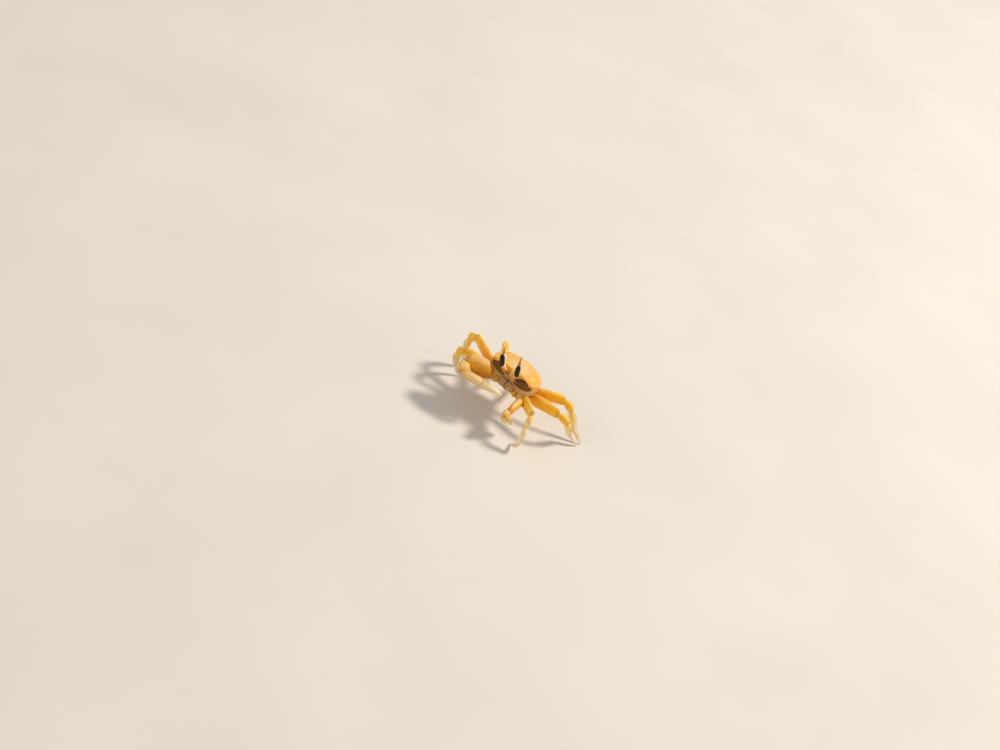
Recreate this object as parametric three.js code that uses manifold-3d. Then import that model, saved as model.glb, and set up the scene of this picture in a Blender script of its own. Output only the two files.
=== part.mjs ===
// A horned ghost crab, life size, standing high on its legs with the large claw folded before its mouth.
// Millimetres, +Z up, floor at z = 0. The crab faces -Y, so its left side is at +X.
import * as THREE from 'three';
import { mergeVertices } from 'three/addons/utils/BufferGeometryUtils.js';
import Module from 'manifold-3d';

const wasm = await Module();
wasm.setup();

// ---------------------------------------------------------------- driving sizes
const GAP = 0.3;                    // clearance between pieces that meet at a joint
const CENTRING = [-5.9, -7.5];      // moves the whole crab so that its plan box is centred on the origin

// Carapace, in the body's own frame, with z = 0 at the level of the side margins at the front.
const SHELL = {
  halfLength: 17, halfWidth: 21.2, frontHalfWidth: 19.8, rearHalfWidth: 11.5,
  crown: 5.6, frontCrown: 1.4, rearCrown: -0.6,
  frontDepth: 12.9, rearDepth: 6.5, frontLean: 0.24,
};
// Eye socket: middle and half sizes of the hollow, how far its outer end is raised and turned forward.
const ORBIT = { centre: [11.2, -18.4, -4.9], radii: [8.7, 6, 4.3], swing: -12, tilt: -4 };
// Nose-up pitch, roll to the left, height of the body's origin over the floor.
const STANCE = { pitch: 20, roll: 8, height: 43.2 };

const EYE = { x: 6.2, y: -20.4, z: -2.9, stalk: 13.8, corneaLength: 11.4, corneaWidth: 4.4, horn: 8.8 };
// How each eye is swung: shift to the left, lean to the left and lean forward in degrees, bend of the horn.
const EYE_SWING = {
  right: { shift: -1.8, lean: -26, forward: 20, hornBend: 2.2 },
  left: { shift: -1.8, lean: -14, forward: 20, hornBend: 0.2 },
};

const FOOT_SINK = 0.55;             // how much of each pointed foot the floor flat cuts away

// Walking legs: lengths of merus with ischium, carpus, propodus, dactyl, then their depths and thicknesses.
const LEG_SIZES = {
  1: {
    root: [13, -5, -16], length: [30, 10.5, 16.5, 14.5],
    depth: [8.8, 6.6, 5.2, 3.4], thick: [4.6, 4.2, 3.4, 2.3],
  },
  2: {
    root: [14, 1, -16], length: [33, 10.5, 18, 15],
    depth: [10, 7.2, 5.8, 3.8], thick: [5.2, 4.6, 3.8, 2.5],
  },
  3: {
    root: [13, 7, -15], length: [31.5, 9.5, 17, 14.5],
    depth: [9.4, 6.8, 5.6, 3.6], thick: [5.0, 4.4, 3.6, 2.4],
  },
  4: {
    root: [10, 12, -13], length: [23, 8, 12, 11],
    depth: [6.2, 4.8, 4.0, 2.8], thick: [4.0, 3.6, 3.0, 2.0],
  },
};
// Pose of each leg in degrees: heading of its plane, lean of the plane, rise of merus, carpus and propodus,
// turn of the propodus out of the plane, and whether the dactyl points out (1) or in (-1). The roll turns a
// merus and its carpus about their own length.
const LEG_POSES = {
  left_1: { heading: -48, lean: 10, rise: [13, -76, -70], turn: -2, reach: -1 },
  left_2: { heading: -1, lean: -31, rise: [9, -28, -83], turn: -5, reach: 1, roll: -40 },
  left_3: { heading: 16, lean: 8, rise: [10, -33, -63], turn: -3, reach: 1, roll: -12 },
  left_4: { heading: 101, lean: 0, rise: [-11, -38, -72], turn: -8, reach: 1 },
  right_1: { heading: 178, lean: 19, rise: [8.5, -53, -88], turn: 4, reach: -1, roll: 35 },
  right_2: { heading: 157, lean: 5, rise: [18, -47, -84], turn: 3, reach: -1 },
  right_3: { heading: 113, lean: 17, rise: [5, -52, -63], turn: 2, reach: 1 },
  right_4: { heading: 96, lean: 0, rise: [-14, -38, -74], turn: 6, reach: 1 },
};
const CLAW_ROOT = [11, -11, -15];
// Claws: each length runs to the next joint. Heading and rise aim the piece and roll turns it about its own
// axis, in degrees.
const CLAWS = {
  right: {
    ischium: { length: 5.5, depth: 9.4, thick: 7.4, heading: 224, rise: 26, roll: 0 },
    merus: { length: 20.3, depth: 18.4, thick: 11.2, heading: 196.5, rise: 8, roll: 0 },
    carpus: { length: 9.3, depth: 11, thick: 10.5, heading: -76, rise: -39, roll: 0 },
    palm: { length: 19, depth: 14.5, thick: 7.6, heading: 2.4, rise: -0.5, roll: 46 },
    finger: { length: 17.5, depth: 5.4 },
    thornScale: 1,
  },
  left: {
    ischium: { length: 7.6, depth: 6.4, thick: 5.6, heading: -28, rise: -8, roll: 0 },
    merus: { length: 17, depth: 9, thick: 6.4, heading: -91, rise: -2, roll: 0 },
    carpus: { length: 5, depth: 7, thick: 6.6, heading: -117, rise: -46, roll: 0 },
    palm: { length: 10, depth: 9.4, thick: 5, heading: 78, rise: -53, roll: 60 },
    finger: { length: 8.7, depth: 3.4 },
    thornScale: 0.62,
  },
};

// Rows of thorns and teeth. Each runs from one share of a piece's length to another, at an angle round its
// section (90 is the upper margin), with its own height.
const LEG_THORNS = {
  merus: [{ angle: 90, from: 0.34, to: 0.93, count: 6, height: 0.55 },
    { angle: -58, from: 0.9, to: 0.94, count: 1, height: 0.6 },
    { angle: -122, from: 0.9, to: 0.94, count: 1, height: 0.6 }],
  carpus: [{ angle: 90, from: 0.5, to: 0.84, count: 2, height: 0.4 }],
};
const CLAW_THORNS = {
  merus: [{ angle: 88, from: 0.3, to: 0.92, count: 7, height: 0.8 },
    { angle: -62, from: 0.3, to: 0.92, count: 7, height: 0.8 },
    { angle: -128, from: 0.4, to: 0.92, count: 6, height: 0.7 }],
  carpus: [{ angle: 20, from: 0.7, to: 0.72, count: 1, height: 1.6 },
    { angle: 74, from: 0.35, to: 0.9, count: 3, height: 0.6 }],
  palm: [{ angle: 90, from: 0.12, to: 0.46, count: 7, height: 0.6 },
    { angle: -90, from: 0.14, to: 0.84, count: 11, height: 0.55 },
    { angle: 90, from: 0.62, to: 0.93, count: 6, height: 0.8 }],
  finger: [{ angle: -90, from: 0.14, to: 0.86, count: 6, height: 0.8 },
    { angle: 90, from: 0.06, to: 0.5, count: 5, height: 0.45 }],
};
const SHELL_THORNS = { sideCount: 9, browCount: 6, height: 0.6 };
const THORN_ROOT = 0.6;             // how deep a thorn's root is sunk

const COLOURS = {
  shell: 0xf0c070, leg: 0xf0a21c, claw: 0xe8b454, under: 0xc79a62, cornea: 0x2b1b08, horn: 0xd0700c,
};

// ---------------------------------------------------------------- small helpers
const radians = THREE.MathUtils.degToRad;
const vector = (x, y, z) => new THREE.Vector3(x, y, z);

// Value at t of a row of [t, value] stops, eased between them.
function along(stops, t) {
  if (t <= stops[0][0]) return stops[0][1];
  for (let i = 1; i < stops.length; i += 1) {
    const [t0, v0] = stops[i - 1];
    const [t1, v1] = stops[i];
    if (t <= t1) {
      const s = (t - t0) / (t1 - t0);
      return v0 + (v1 - v0) * s * s * (3 - 2 * s);
    }
  }
  return stops[stops.length - 1][1];
}

// Closed mesh through rings of equal count, with a centre point closing each end.
function loft(rings) {
  const count = rings[0].length;
  const points = rings.flat();
  const centre = (ring) => ring.reduce((sum, p) => sum.add(p), vector(0, 0, 0)).divideScalar(count);
  const first = points.length;
  points.push(centre(rings[0]), centre(rings[rings.length - 1]));
  const faces = [];
  for (let j = 0; j < count; j += 1) {
    const k = (j + 1) % count;
    const last = (rings.length - 1) * count;
    faces.push([first, k, j], [first + 1, last + j, last + k]);
    for (let i = 0; i + 1 < rings.length; i += 1) {
      const a = i * count;
      const b = a + count;
      faces.push([a + j, a + k, b + j], [a + k, b + k, b + j]);
    }
  }
  return closedGeometry(points, faces);
}

// Indexed geometry whose faces are turned outward whatever way the rings ran.
function closedGeometry(points, faces) {
  let volume = 0;
  const cross = vector(0, 0, 0);
  for (const [a, b, c] of faces) volume += points[a].dot(cross.crossVectors(points[b], points[c]));
  const turned = volume < 0 ? faces.map(([a, b, c]) => [a, c, b]) : faces;
  const geometry = new THREE.BufferGeometry();
  const numbers = points.flatMap((p) => p.toArray());
  geometry.setAttribute('position', new THREE.Float32BufferAttribute(numbers, 3));
  geometry.setIndex(turned.flat());
  return geometry;
}

// Geometry of shared corners only, ready to be made a solid.
function sealed(geometry) {
  geometry.deleteAttribute('normal');
  geometry.deleteAttribute('uv');
  return mergeVertices(geometry, 1e-4);
}

// Egg-shaped solid round a centre, its long axis turned by a quaternion.
function egg(centre, radii, turn = new THREE.Quaternion(), grow = 0, segments = 14) {
  const ball = sealed(new THREE.SphereGeometry(1, segments, Math.round(segments * 0.6)));
  ball.scale(radii[0] + grow, radii[1] + grow, radii[2] + grow);
  ball.applyQuaternion(turn);
  ball.translate(...centre);
  return ball;
}

function toSolid(geometry) {
  return new wasm.Manifold(new wasm.Mesh({
    numProp: 3,
    vertProperties: new Float32Array(geometry.attributes.position.array),
    triVerts: new Uint32Array(geometry.index.array),
  }));
}

function toGeometry(solid) {
  const { vertProperties, triVerts } = solid.getMesh();
  const geometry = new THREE.BufferGeometry();
  geometry.setAttribute('position', new THREE.BufferAttribute(new Float32Array(vertProperties), 3));
  geometry.setIndex(new THREE.BufferAttribute(new Uint32Array(triVerts), 1));
  return geometry;
}

// ---------------------------------------------------------------- pieces and how they meet
// A piece has a name, a colour, a frame (its place in the crab), and `shapes(grow)`: closed geometries in
// that frame that are fused into it, swollen by `grow`. `hollows` are cut out of it.
const pieces = new Map();
function addPiece(piece) {
  pieces.set(piece.name, { hollows: [], fitted: [], clearance: GAP, frame: new THREE.Matrix4(), ...piece });
}

// Geometry of one piece carried into another piece's frame.
function seenFrom(target, geometry, frame) {
  return geometry.clone().applyMatrix4(target.frame.clone().invert().multiply(frame));
}

// Fused solid of a piece, cleared of each piece that is let into it, and cut flat at the floor.
function finishedSolid(piece) {
  let solid = null;
  for (const shape of piece.shapes(0)) solid = solid ? solid.add(toSolid(shape)) : toSolid(shape);
  for (const hollow of piece.hollows) solid = solid.subtract(toSolid(hollow));
  for (const name of piece.fitted) {
    const guest = pieces.get(name);
    for (const shape of guest.shapes(piece.clearance)) {
      solid = solid.subtract(toSolid(seenFrom(piece, shape, guest.frame)));
    }
  }
  if (piece.onFloor) {
    const slab = sealed(new THREE.BoxGeometry(400, 400, 20)).translate(0, 0, -10);
    solid = solid.subtract(toSolid(seenFrom(piece, slab, new THREE.Matrix4())));
  }
  const bodies = solid.decompose();
  return bodies.reduce((best, body) => (body.volume() > best.volume() ? body : best));
}

// ---------------------------------------------------------------- the body's frame
const bodyFrame = new THREE.Matrix4()
  .makeTranslation(0, 0, STANCE.height)
  .multiply(new THREE.Matrix4().makeRotationFromEuler(
    new THREE.Euler(radians(-STANCE.pitch), radians(STANCE.roll), 0, 'YXZ')));
const onBody = (x, y, z) => vector(x, y, z).applyMatrix4(bodyFrame);

// ---------------------------------------------------------------- carapace
const L = SHELL.halfLength;
const outline = [[-L, SHELL.frontHalfWidth], [-L * 0.35, SHELL.halfWidth],
  [L * 0.4, SHELL.halfWidth * 0.91], [L * 0.8, SHELL.halfWidth * 0.76], [L, SHELL.rearHalfWidth]];
const crownLine = [[-L, SHELL.frontCrown], [-L * 0.1, SHELL.crown], [L * 0.55, SHELL.crown * 0.72],
  [L, SHELL.rearCrown]];
const marginLine = [[-L, 0], [0, -0.4], [L, -2.8]];
const depthLine = [[-L, SHELL.frontDepth], [0, SHELL.frontDepth * 0.78], [L, SHELL.rearDepth]];

// Height of the shell's back over the line of its margins.
function backHeight(x, y) {
  const width = along(outline, y);
  const u = Math.min(1, Math.abs(x) / width);
  const dome = along(crownLine, y) - along(marginLine, y);
  const groove = 0.5 * Math.exp(-(((Math.abs(x) - 6.5) / 1.6) ** 2)) * Math.exp(-((y / 8) ** 2));
  return along(marginLine, y) + dome * (1 - u ** 2.8) - groove * (1 - u);
}

function shellRing(y, inset, grow) {
  const width = along(outline, y) - inset + grow;
  const depth = along(depthLine, y) - inset + grow;
  const margin = along(marginLine, y);
  const ring = [];
  const place = (x, z) => {
    const lean = SHELL.frontLean * Math.max(0, -z) * THREE.MathUtils.smoothstep(-y, -2, L);
    ring.push(vector(x, y + lean, z));
  };
  const steps = 12;
  for (let i = 0; i <= steps; i += 1) {
    const u = Math.sin(((i / steps) * 2 - 1) * Math.PI / 2);
    const x = width * u;
    place(x, backHeight(x * 0.999, y) - inset * 0.6 + grow);
  }
  const side = [[1.01, margin - 1.3], [1.03, -depth * 0.45], [0.97, -depth * 0.82], [0.82, -depth]];
  for (const [share, z] of side) place(width * share, z);
  place(width * 0.3, -depth);
  place(-width * 0.3, -depth);
  for (const [share, z] of side.slice().reverse()) place(-width * share, z);
  return ring;
}

function shellShapes(grow) {
  const rings = [shellRing(-L - 0.5 - grow, 1.6, grow)];
  const count = 13;
  for (let i = 0; i <= count; i += 1) {
    const y = -L + (2 * L * i) / count;
    rings.push(shellRing(y, 0, grow));
  }
  rings.push(shellRing(L + 0.9 + grow, 1.6, grow));
  const sides = [1, -1].flatMap((side) => [orbitTooth(side, grow), ...marginThorns(side, grow)]);
  return [loft(rings), frontTongue(grow), ...sides];
}

// Thorns along the side margin behind the orbital tooth, and blunt ones along the brow over the eye socket.
function marginThorns(side, grow) {
  const list = [];
  for (let i = 0; i < SHELL_THORNS.sideCount; i += 1) {
    const y = -L + 3.6 + i * 2.6;
    const rim = vector(side * along(outline, y) * 1.01, y, along(marginLine, y) - 0.9);
    list.push(thorn(rim, vector(side, -0.3, 0.1), SHELL_THORNS.height * (1 - i * 0.05), grow));
  }
  for (let i = 0; i < SHELL_THORNS.browCount; i += 1) {
    const x = 6.2 + i * 2.1;
    const rim = vector(side * x, -L - 0.3, backHeight(x, -L) - 0.5);
    list.push(thorn(rim, vector(side * 0.1, -1, 0.15), SHELL_THORNS.height * 0.8, grow));
  }
  return list;
}

// Thorn that stands on a surface point, its root sunk in.
function thorn(point, out, height, grow, sides = 4) {
  const axis = out.clone().normalize();
  const base = point.clone().addScaledVector(axis, -THORN_ROOT);
  const tip = point.clone().addScaledVector(axis, height + grow);
  return spike(base, tip, 0.28 + height * 0.42 + grow, grow, sides);
}

// The narrow front that is turned down between the eyes.
function frontTongue(grow) {
  const rings = [];
  const stops = [[-L + 5, 1.6, 3.2], [-L, 1.2, 3.0], [-L - 1.9, 0.1, 2.3], [-L - 2.9, -1.8, 1.9],
    [-L - 3.1, -3.6, 1.2]];
  for (const [y, z, half] of stops) {
    const w = half + grow;
    const h = 1.0 + grow;
    rings.push([vector(w, y, z - h * 0.6), vector(w * 0.6, y, z + h), vector(-w * 0.6, y, z + h),
      vector(-w, y, z - h * 0.6), vector(0, y + 0.6, z - h)]);
  }
  return loft(rings);
}

// Forward-pointing tooth at the outer end of the eye socket.
function orbitTooth(side, grow) {
  const base = vector(side * (SHELL.frontHalfWidth - 1.4), -L + 2.4, -0.8);
  const tip = vector(side * (SHELL.frontHalfWidth + 0.5), -L - 2.2, -0.5);
  return spike(base, tip, 2.1 + grow, 0.35 + grow, 6);
}

// Tapered spike between two points.
function spike(base, tip, rootRadius, tipRadius, sides) {
  const axis = tip.clone().sub(base);
  const cone = sealed(new THREE.CylinderGeometry(tipRadius, rootRadius, axis.length(), sides));
  cone.applyQuaternion(new THREE.Quaternion().setFromUnitVectors(vector(0, 1, 0), axis.clone().normalize()));
  const middle = base.clone().add(tip).multiplyScalar(0.5);
  cone.translate(middle.x, middle.y, middle.z);
  return cone;
}

// Eye socket: a long deep hollow across the front, under the edge of the shell.
function orbitHollow(side) {
  const tilt = new THREE.Euler(0, radians(side * ORBIT.swing), radians(side * ORBIT.tilt));
  const [x, y, z] = ORBIT.centre;
  return egg([side * x, y, z], ORBIT.radii, new THREE.Quaternion().setFromEuler(tilt), 0, 16);
}

addPiece({
  name: 'carapace', colour: COLOURS.shell, frame: bodyFrame, shapes: shellShapes,
  hollows: [orbitHollow(1), orbitHollow(-1)],
  fitted: ['eyestalk_left', 'eyestalk_right', 'antenna_left', 'antenna_right', 'maxilliped_left',
    'maxilliped_right', 'claw_left_ischium', 'claw_right_ischium', 'claw_right_merus'],
});

// ---------------------------------------------------------------- underside
function crossRing(y, half, top, bottom, grow, square = 0.75) {
  const ring = [];
  const sides = 12;
  for (let i = 0; i < sides; i += 1) {
    const a = (i / sides) * 2 * Math.PI;
    const c = Math.cos(a);
    const s = Math.sin(a);
    const x = Math.sign(c) * Math.abs(c) ** square * (half + grow);
    const h = ((top - bottom) / 2 + grow) * Math.sign(s) * Math.abs(s) ** square;
    ring.push(vector(x, y, (top + bottom) / 2 + h));
  }
  return ring;
}

function thoraxShapes(grow) {
  const stations = [[-12.5, 5, -8, -15.5], [-11, 8.5, -6, -18], [-5, 10.5, -4, -19.6], [2, 11, -4, -19.8],
    [9, 9.4, -4, -18.6], [14, 6.6, -4, -15.4], [16, 3.6, -5, -12]];
  const trunk = loft(stations.map(([y, half, top, bottom], i) => {
    const end = i === 0 ? -grow : (i === stations.length - 1 ? grow : 0);
    return crossRing(y + end, half, top, bottom, grow);
  }));
  return [trunk, ...coxae(grow)];
}

// One short coxa for each limb, fused to the breastplate, reaching out to the limb's root joint.
function coxae(grow) {
  const roots = [{ root: CLAW_ROOT, radius: 4.3 }];
  for (const number of [1, 2, 3, 4]) {
    roots.push({ root: LEG_SIZES[number].root, radius: 3.9 - number * 0.25 });
  }
  const list = [];
  for (const { root: [x, y, z], radius } of roots) {
    for (const side of [1, -1]) {
      const inner = vector(side * x * 0.35, y * 0.8, z + 1.5);
      list.push(spike(inner, vector(side * (x + 0.2), y, z), radius + grow, radius * 0.86 + grow, 8));
    }
  }
  return list;
}

const limbRoots = [1, 2, 3, 4].flatMap((n) => [`leg_left_${n}_merus`, `leg_right_${n}_merus`])
  .concat(['claw_left_ischium', 'claw_right_ischium']);
addPiece({
  name: 'thorax', colour: COLOURS.under, frame: bodyFrame, shapes: thoraxShapes,
  fitted: ['carapace', 'pleon', 'mouth_frame', 'maxilliped_left', 'maxilliped_right', ...limbRoots],
});

// Tail flap folded flat under the breastplate, with a step at each ring.
function pleonShapes(grow) {
  const rings = [];
  const count = 6;
  const root = 15.2;
  const tip = -4;
  for (let i = 0; i < count; i += 1) {
    const near = root + ((tip - root) * i) / count;
    const far = root + ((tip - root) * (i + 1)) / count;
    for (const [y, share] of [[near, 0.88], [near + (far - near) * 0.25, 1], [far + 0.15, 0.97]]) {
      const half = along([[tip, 1.2], [4, 3.4], [root, 5.4]], y) * share;
      const z = along([[tip, -20.4], [9, -19.3], [root, -15.2]], y);
      const end = rings.length === 0 ? grow : (i === count - 1 && share === 0.97 ? -grow : 0);
      rings.push(crossRing(y + end, half, z + 0.9, z - 0.9 * share, grow));
    }
  }
  return [loft(rings)];
}
addPiece({ name: 'pleon', colour: COLOURS.under, frame: bodyFrame, shapes: pleonShapes });

// Frame of the mouth, with the two leaf-shaped outer mouthparts closing it.
const MOUTH = { half: 8, top: -8, bottom: -17.4, y: -13.6, lean: 0.3 };
function mouthShapes(grow) {
  const stations = [[MOUTH.y - 1.4, 7.2, 0.6], [MOUTH.y - 0.6, MOUTH.half, 0],
    [MOUTH.y + 3.5, MOUTH.half, 0]];
  return [loft(stations.map(([y, half, inset], i) => {
    const end = y + (i === 2 ? grow : -grow);
    const ring = crossRing(end, half, MOUTH.top - inset, MOUTH.bottom + inset, grow, 0.6);
    for (const p of ring) p.y -= MOUTH.lean * (p.z - MOUTH.bottom) - 1.2;
    return ring;
  }))];
}
addPiece({
  name: 'mouth_frame', colour: COLOURS.under, frame: bodyFrame, shapes: mouthShapes,
  clearance: GAP * 1.6, fitted: ['carapace', 'maxilliped_left', 'maxilliped_right'],
});

function maxillipedShapes(side, grow) {
  const stations = [[MOUTH.bottom + 0.4, 1.6, 0.6], [MOUTH.bottom + 1.6, 2.9, 1.1],
    [MOUTH.bottom + 5.2, 3.5, 1.3], [MOUTH.bottom + 5.8, 3.3, 0.9], [MOUTH.bottom + 6.4, 3.4, 1.3],
    [MOUTH.top - 1.4, 3.1, 1.1], [MOUTH.top - 0.6, 1.9, 0.6]];
  const middle = side * 3.9;
  const face = (z) => MOUTH.y - 1.5 - MOUTH.lean * (z - MOUTH.bottom) + 1.2;
  const palpRoot = vector(side * 2.2, face(MOUTH.top - 2) - 0.8, MOUTH.top - 2);
  const palpTip = vector(side * 1.3, face(MOUTH.top - 5.4) - 1.2, MOUTH.top - 5.4);
  const palp = spike(palpRoot, palpTip, 0.75 + grow, 0.4 + grow, 6);
  return [palp, loft(stations.map(([z, half, thick], i) => {
    const lift = i === 0 ? -grow : (i === stations.length - 1 ? grow : 0);
    const ring = [];
    for (let j = 0; j < 10; j += 1) {
      const a = (j / 10) * 2 * Math.PI;
      const out = (thick + grow) * Math.sin(a);
      ring.push(vector(middle + (half + grow) * Math.cos(a), face(z) - out, z + lift));
    }
    return ring;
  }))];
}

// ---------------------------------------------------------------- eyes and feelers
const swingOf = (side) => EYE_SWING[side > 0 ? 'left' : 'right'];
function eyeFrame(side) {
  const { shift, lean, forward } = swingOf(side);
  const turn = new THREE.Euler(radians(forward), radians(lean), 0, 'XYZ');
  return bodyFrame.clone()
    .multiply(new THREE.Matrix4().makeTranslation(side * EYE.x + shift, EYE.y, EYE.z))
    .multiply(new THREE.Matrix4().makeRotationFromEuler(turn));
}

// Stalk: a knuckle at the root, nearer the middle, then a column behind the cornea, ending under the horn.
function stalkShapes(side, grow) {
  const stations = [[-1.7, 0.9, 0.4, 2.2], [-0.8, 1.9, 0.3, 2], [0.9, 2.3, 0.2, 1.3], [2.4, 1.9, 0.3, 0.5],
    [3.8, 1.5, 0.8, 0.2], [EYE.stalk - 3, 1.6, 1.0, 0.2], [EYE.stalk - 0.6, 1.35, 0.6, 0],
    [EYE.stalk, 0.8, 0.4, 0]];
  return [loft(stations.map(([z, radius, back, inward], i) => {
    const lift = i === 0 ? -grow : (i === stations.length - 1 ? grow : 0);
    return roundRing(-side * inward, back, z + lift, radius + grow, 10);
  }))];
}

// Ring of points in a level plane.
function roundRing(x, y, z, radius, sides) {
  const ring = [];
  for (let j = 0; j < sides; j += 1) {
    const a = (j / sides) * 2 * Math.PI;
    ring.push(vector(x + radius * Math.cos(a), y + radius * Math.sin(a), z));
  }
  return ring;
}

// Cornea: a long upright bean on the front and outer side of the stalk.
function corneaShapes(side, grow) {
  const half = EYE.corneaLength / 2;
  const centre = [side * 0.45, -0.75, EYE.stalk - half - 0.2];
  return [egg(centre, [EYE.corneaWidth / 2, EYE.corneaWidth / 2, half], undefined, grow, 16)];
}

function hornShapes(side, grow) {
  const rings = [];
  const count = 5;
  for (let i = 0; i <= count; i += 1) {
    const t = i / count;
    const radius = 0.95 * (1 - t) ** 0.8 + 0.3 + grow;
    const z = EYE.stalk - 0.4 + t * EYE.horn + (i === 0 ? -grow : (i === count ? grow : 0));
    rings.push(roundRing(swingOf(side).hornBend * t ** 1.5, 0.5 + 0.5 * t * t, z, radius, 7));
  }
  return [loft(rings)];
}

function antennaShapes(side, grow) {
  const base = vector(side * 2.7, -L - 0.2, -4.9);
  const elbow = vector(side * 3.5, -L - 2.4, -5.4);
  const tip = vector(side * 4.9, -L - 4.9, -4.1);
  return [spike(base, elbow, 1.1 + grow, 0.85 + grow, 7), spike(elbow.clone().lerp(base, 0.2), tip,
    0.7 + grow, 0.3 + grow, 7)];
}

for (const [word, side] of [['left', 1], ['right', -1]]) {
  addPiece({
    name: `maxilliped_${word}`, colour: COLOURS.under, frame: bodyFrame,
    shapes: (grow) => maxillipedShapes(side, grow),
  });
  addPiece({
    name: `eyestalk_${word}`, colour: COLOURS.shell, frame: eyeFrame(side),
    shapes: (grow) => stalkShapes(side, grow),
    fitted: [`cornea_${word}`, `horn_${word}`],
  });
  addPiece({
    name: `cornea_${word}`, colour: COLOURS.cornea, frame: eyeFrame(side),
    shapes: (grow) => corneaShapes(side, grow),
    fitted: [`horn_${word}`],
  });
  addPiece({
    name: `horn_${word}`, colour: COLOURS.horn, frame: eyeFrame(side),
    shapes: (grow) => hornShapes(side, grow),
  });
  addPiece({
    name: `antenna_${word}`, colour: COLOURS.under, frame: bodyFrame,
    shapes: (grow) => antennaShapes(side, grow),
    fitted: [`eyestalk_${word}`],
  });
}

// ---------------------------------------------------------------- limbs
// Frame of a limb piece: its +X runs to the next joint, +Z is its upper margin, leaned about its heading.
function limbFrame(joint, heading, rise, lean, turn = 0) {
  const flat = vector(Math.cos(radians(heading)), Math.sin(radians(heading)), 0);
  const across = vector(-flat.y, flat.x, 0);
  const up = vector(0, 0, Math.cos(radians(lean))).addScaledVector(across, Math.sin(radians(lean)));
  const forward = flat.multiplyScalar(Math.cos(radians(turn)))
    .addScaledVector(vector(0, 0, 0).crossVectors(up, flat).normalize(), Math.sin(radians(turn)));
  const x = forward.clone().multiplyScalar(Math.cos(rise)).addScaledVector(up, Math.sin(rise));
  const z = up.clone().multiplyScalar(Math.cos(rise)).addScaledVector(forward, -Math.sin(rise));
  const y = vector(0, 0, 0).crossVectors(z, x);
  return new THREE.Matrix4().makeBasis(x, y, z).setPosition(joint);
}
const farEnd = (frame, length) => vector(length, 0, 0).applyMatrix4(frame);

// Section of a limb piece: a rounded oblong with its own reach above and below the axis.
function limbRing(x, up, down, half, lift, grow, sides = 8) {
  const ring = [];
  for (let i = 0; i < sides; i += 1) {
    const a = ((i + 0.5) / sides) * 2 * Math.PI;
    const c = Math.cos(a);
    const s = Math.sin(a);
    const reach = (s > 0 ? up : down) + grow;
    ring.push(vector(x, Math.sign(c) * Math.abs(c) ** 0.85 * (half + grow),
      lift + Math.sign(s) * Math.abs(s) ** 0.85 * reach));
  }
  return ring;
}

// Profiles: share of length, then shares of half depth above and below, and of half thickness.
const PROFILES = {
  merus: [[-0.045, 0.2, 0.2, 0.3], [0, 0.44, 0.44, 0.66], [0.11, 0.5, 0.52, 0.74], [0.15, 0.44, 0.46, 0.66],
    [0.22, 0.72, 0.74, 0.86], [0.42, 1, 0.94, 1], [0.72, 0.96, 0.86, 0.96], [0.94, 0.84, 0.74, 0.86],
    [1.02, 0.6, 0.52, 0.62]],
  carpus: [[-0.14, 0.24, 0.24, 0.3], [-0.03, 0.52, 0.52, 0.62], [0.16, 0.66, 0.62, 0.74],
    [0.4, 0.92, 0.84, 0.94], [0.75, 1, 0.96, 1], [0.98, 0.86, 0.84, 0.86], [1.06, 0.56, 0.56, 0.6]],
  propodus: [[-0.09, 0.26, 0.26, 0.34], [-0.02, 0.56, 0.56, 0.66], [0.1, 0.72, 0.7, 0.82],
    [0.3, 1, 0.92, 1], [0.65, 0.92, 0.84, 0.94], [0.94, 0.76, 0.72, 0.8], [1.03, 0.5, 0.5, 0.56]],
  dactyl: [[-0.09, 0.3, 0.3, 0.4], [-0.02, 0.66, 0.66, 0.8], [0.1, 0.94, 0.9, 1], [0.35, 0.86, 0.8, 0.9],
    [0.65, 0.6, 0.58, 0.66], [0.88, 0.4, 0.38, 0.46], [1.03, 0.26, 0.26, 0.3]],
};
const BOW = { merus: 0.02, carpus: 0.05, propodus: 0.02, dactyl: 0.05 };

function limbShape(kind, length, depth, thick, grow) {
  const rows = PROFILES[kind];
  return loft(rows.map(([t, up, down, side], i) => {
    const end = i === 0 ? -grow : (i === rows.length - 1 ? grow : 0);
    const lift = BOW[kind] * length * 4 * t * (1 - t);
    return limbRing(t * length + end, up * depth / 2, down * depth / 2, side * thick / 2, lift, grow);
  }));
}

// Row of a profile at x, straight between its neighbours.
function rowAt(rows, x) {
  let i = 1;
  while (i < rows.length - 1 && rows[i][0] < x) i += 1;
  const [before, after] = [rows[i - 1], rows[i]];
  const s = THREE.MathUtils.clamp((x - before[0]) / (after[0] - before[0]), 0, 1);
  return before.map((value, k) => value + (after[k] - value) * s);
}

// Thorns along a piece. `sectionAt(share)` gives its section there: [x, up, down, half thickness, lift].
function thornRows(rows, sectionAt, scale, grow) {
  const list = [];
  for (const { angle, from, to, count, height } of rows) {
    for (let i = 0; i < count; i += 1) {
      const [x, up, down, half, lift] = sectionAt(from + ((to - from) * (i + 0.5)) / count);
      const c = Math.cos(radians(angle));
      const s = Math.sin(radians(angle));
      const rim = vector(x, Math.sign(c) * Math.abs(c) ** 0.85 * half,
        lift + Math.sign(s) * Math.abs(s) ** 0.85 * (s > 0 ? up : down));
      const uneven = 0.86 + 0.22 * Math.sin(i * 2.4 + count);
      list.push(thorn(rim, vector(0.35, c, s), height * scale * uneven, grow));
    }
  }
  return list;
}

function limbThorns(kind, rows, length, depth, thick, scale, grow) {
  const sectionAt = (share) => {
    const [t, up, down, side] = rowAt(PROFILES[kind], share);
    const bow = BOW[kind] * length * 4 * t * (1 - t);
    return [t * length, (up * depth) / 2, (down * depth) / 2, (side * thick) / 2, bow];
  };
  return thornRows(rows, sectionAt, scale, grow);
}

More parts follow.
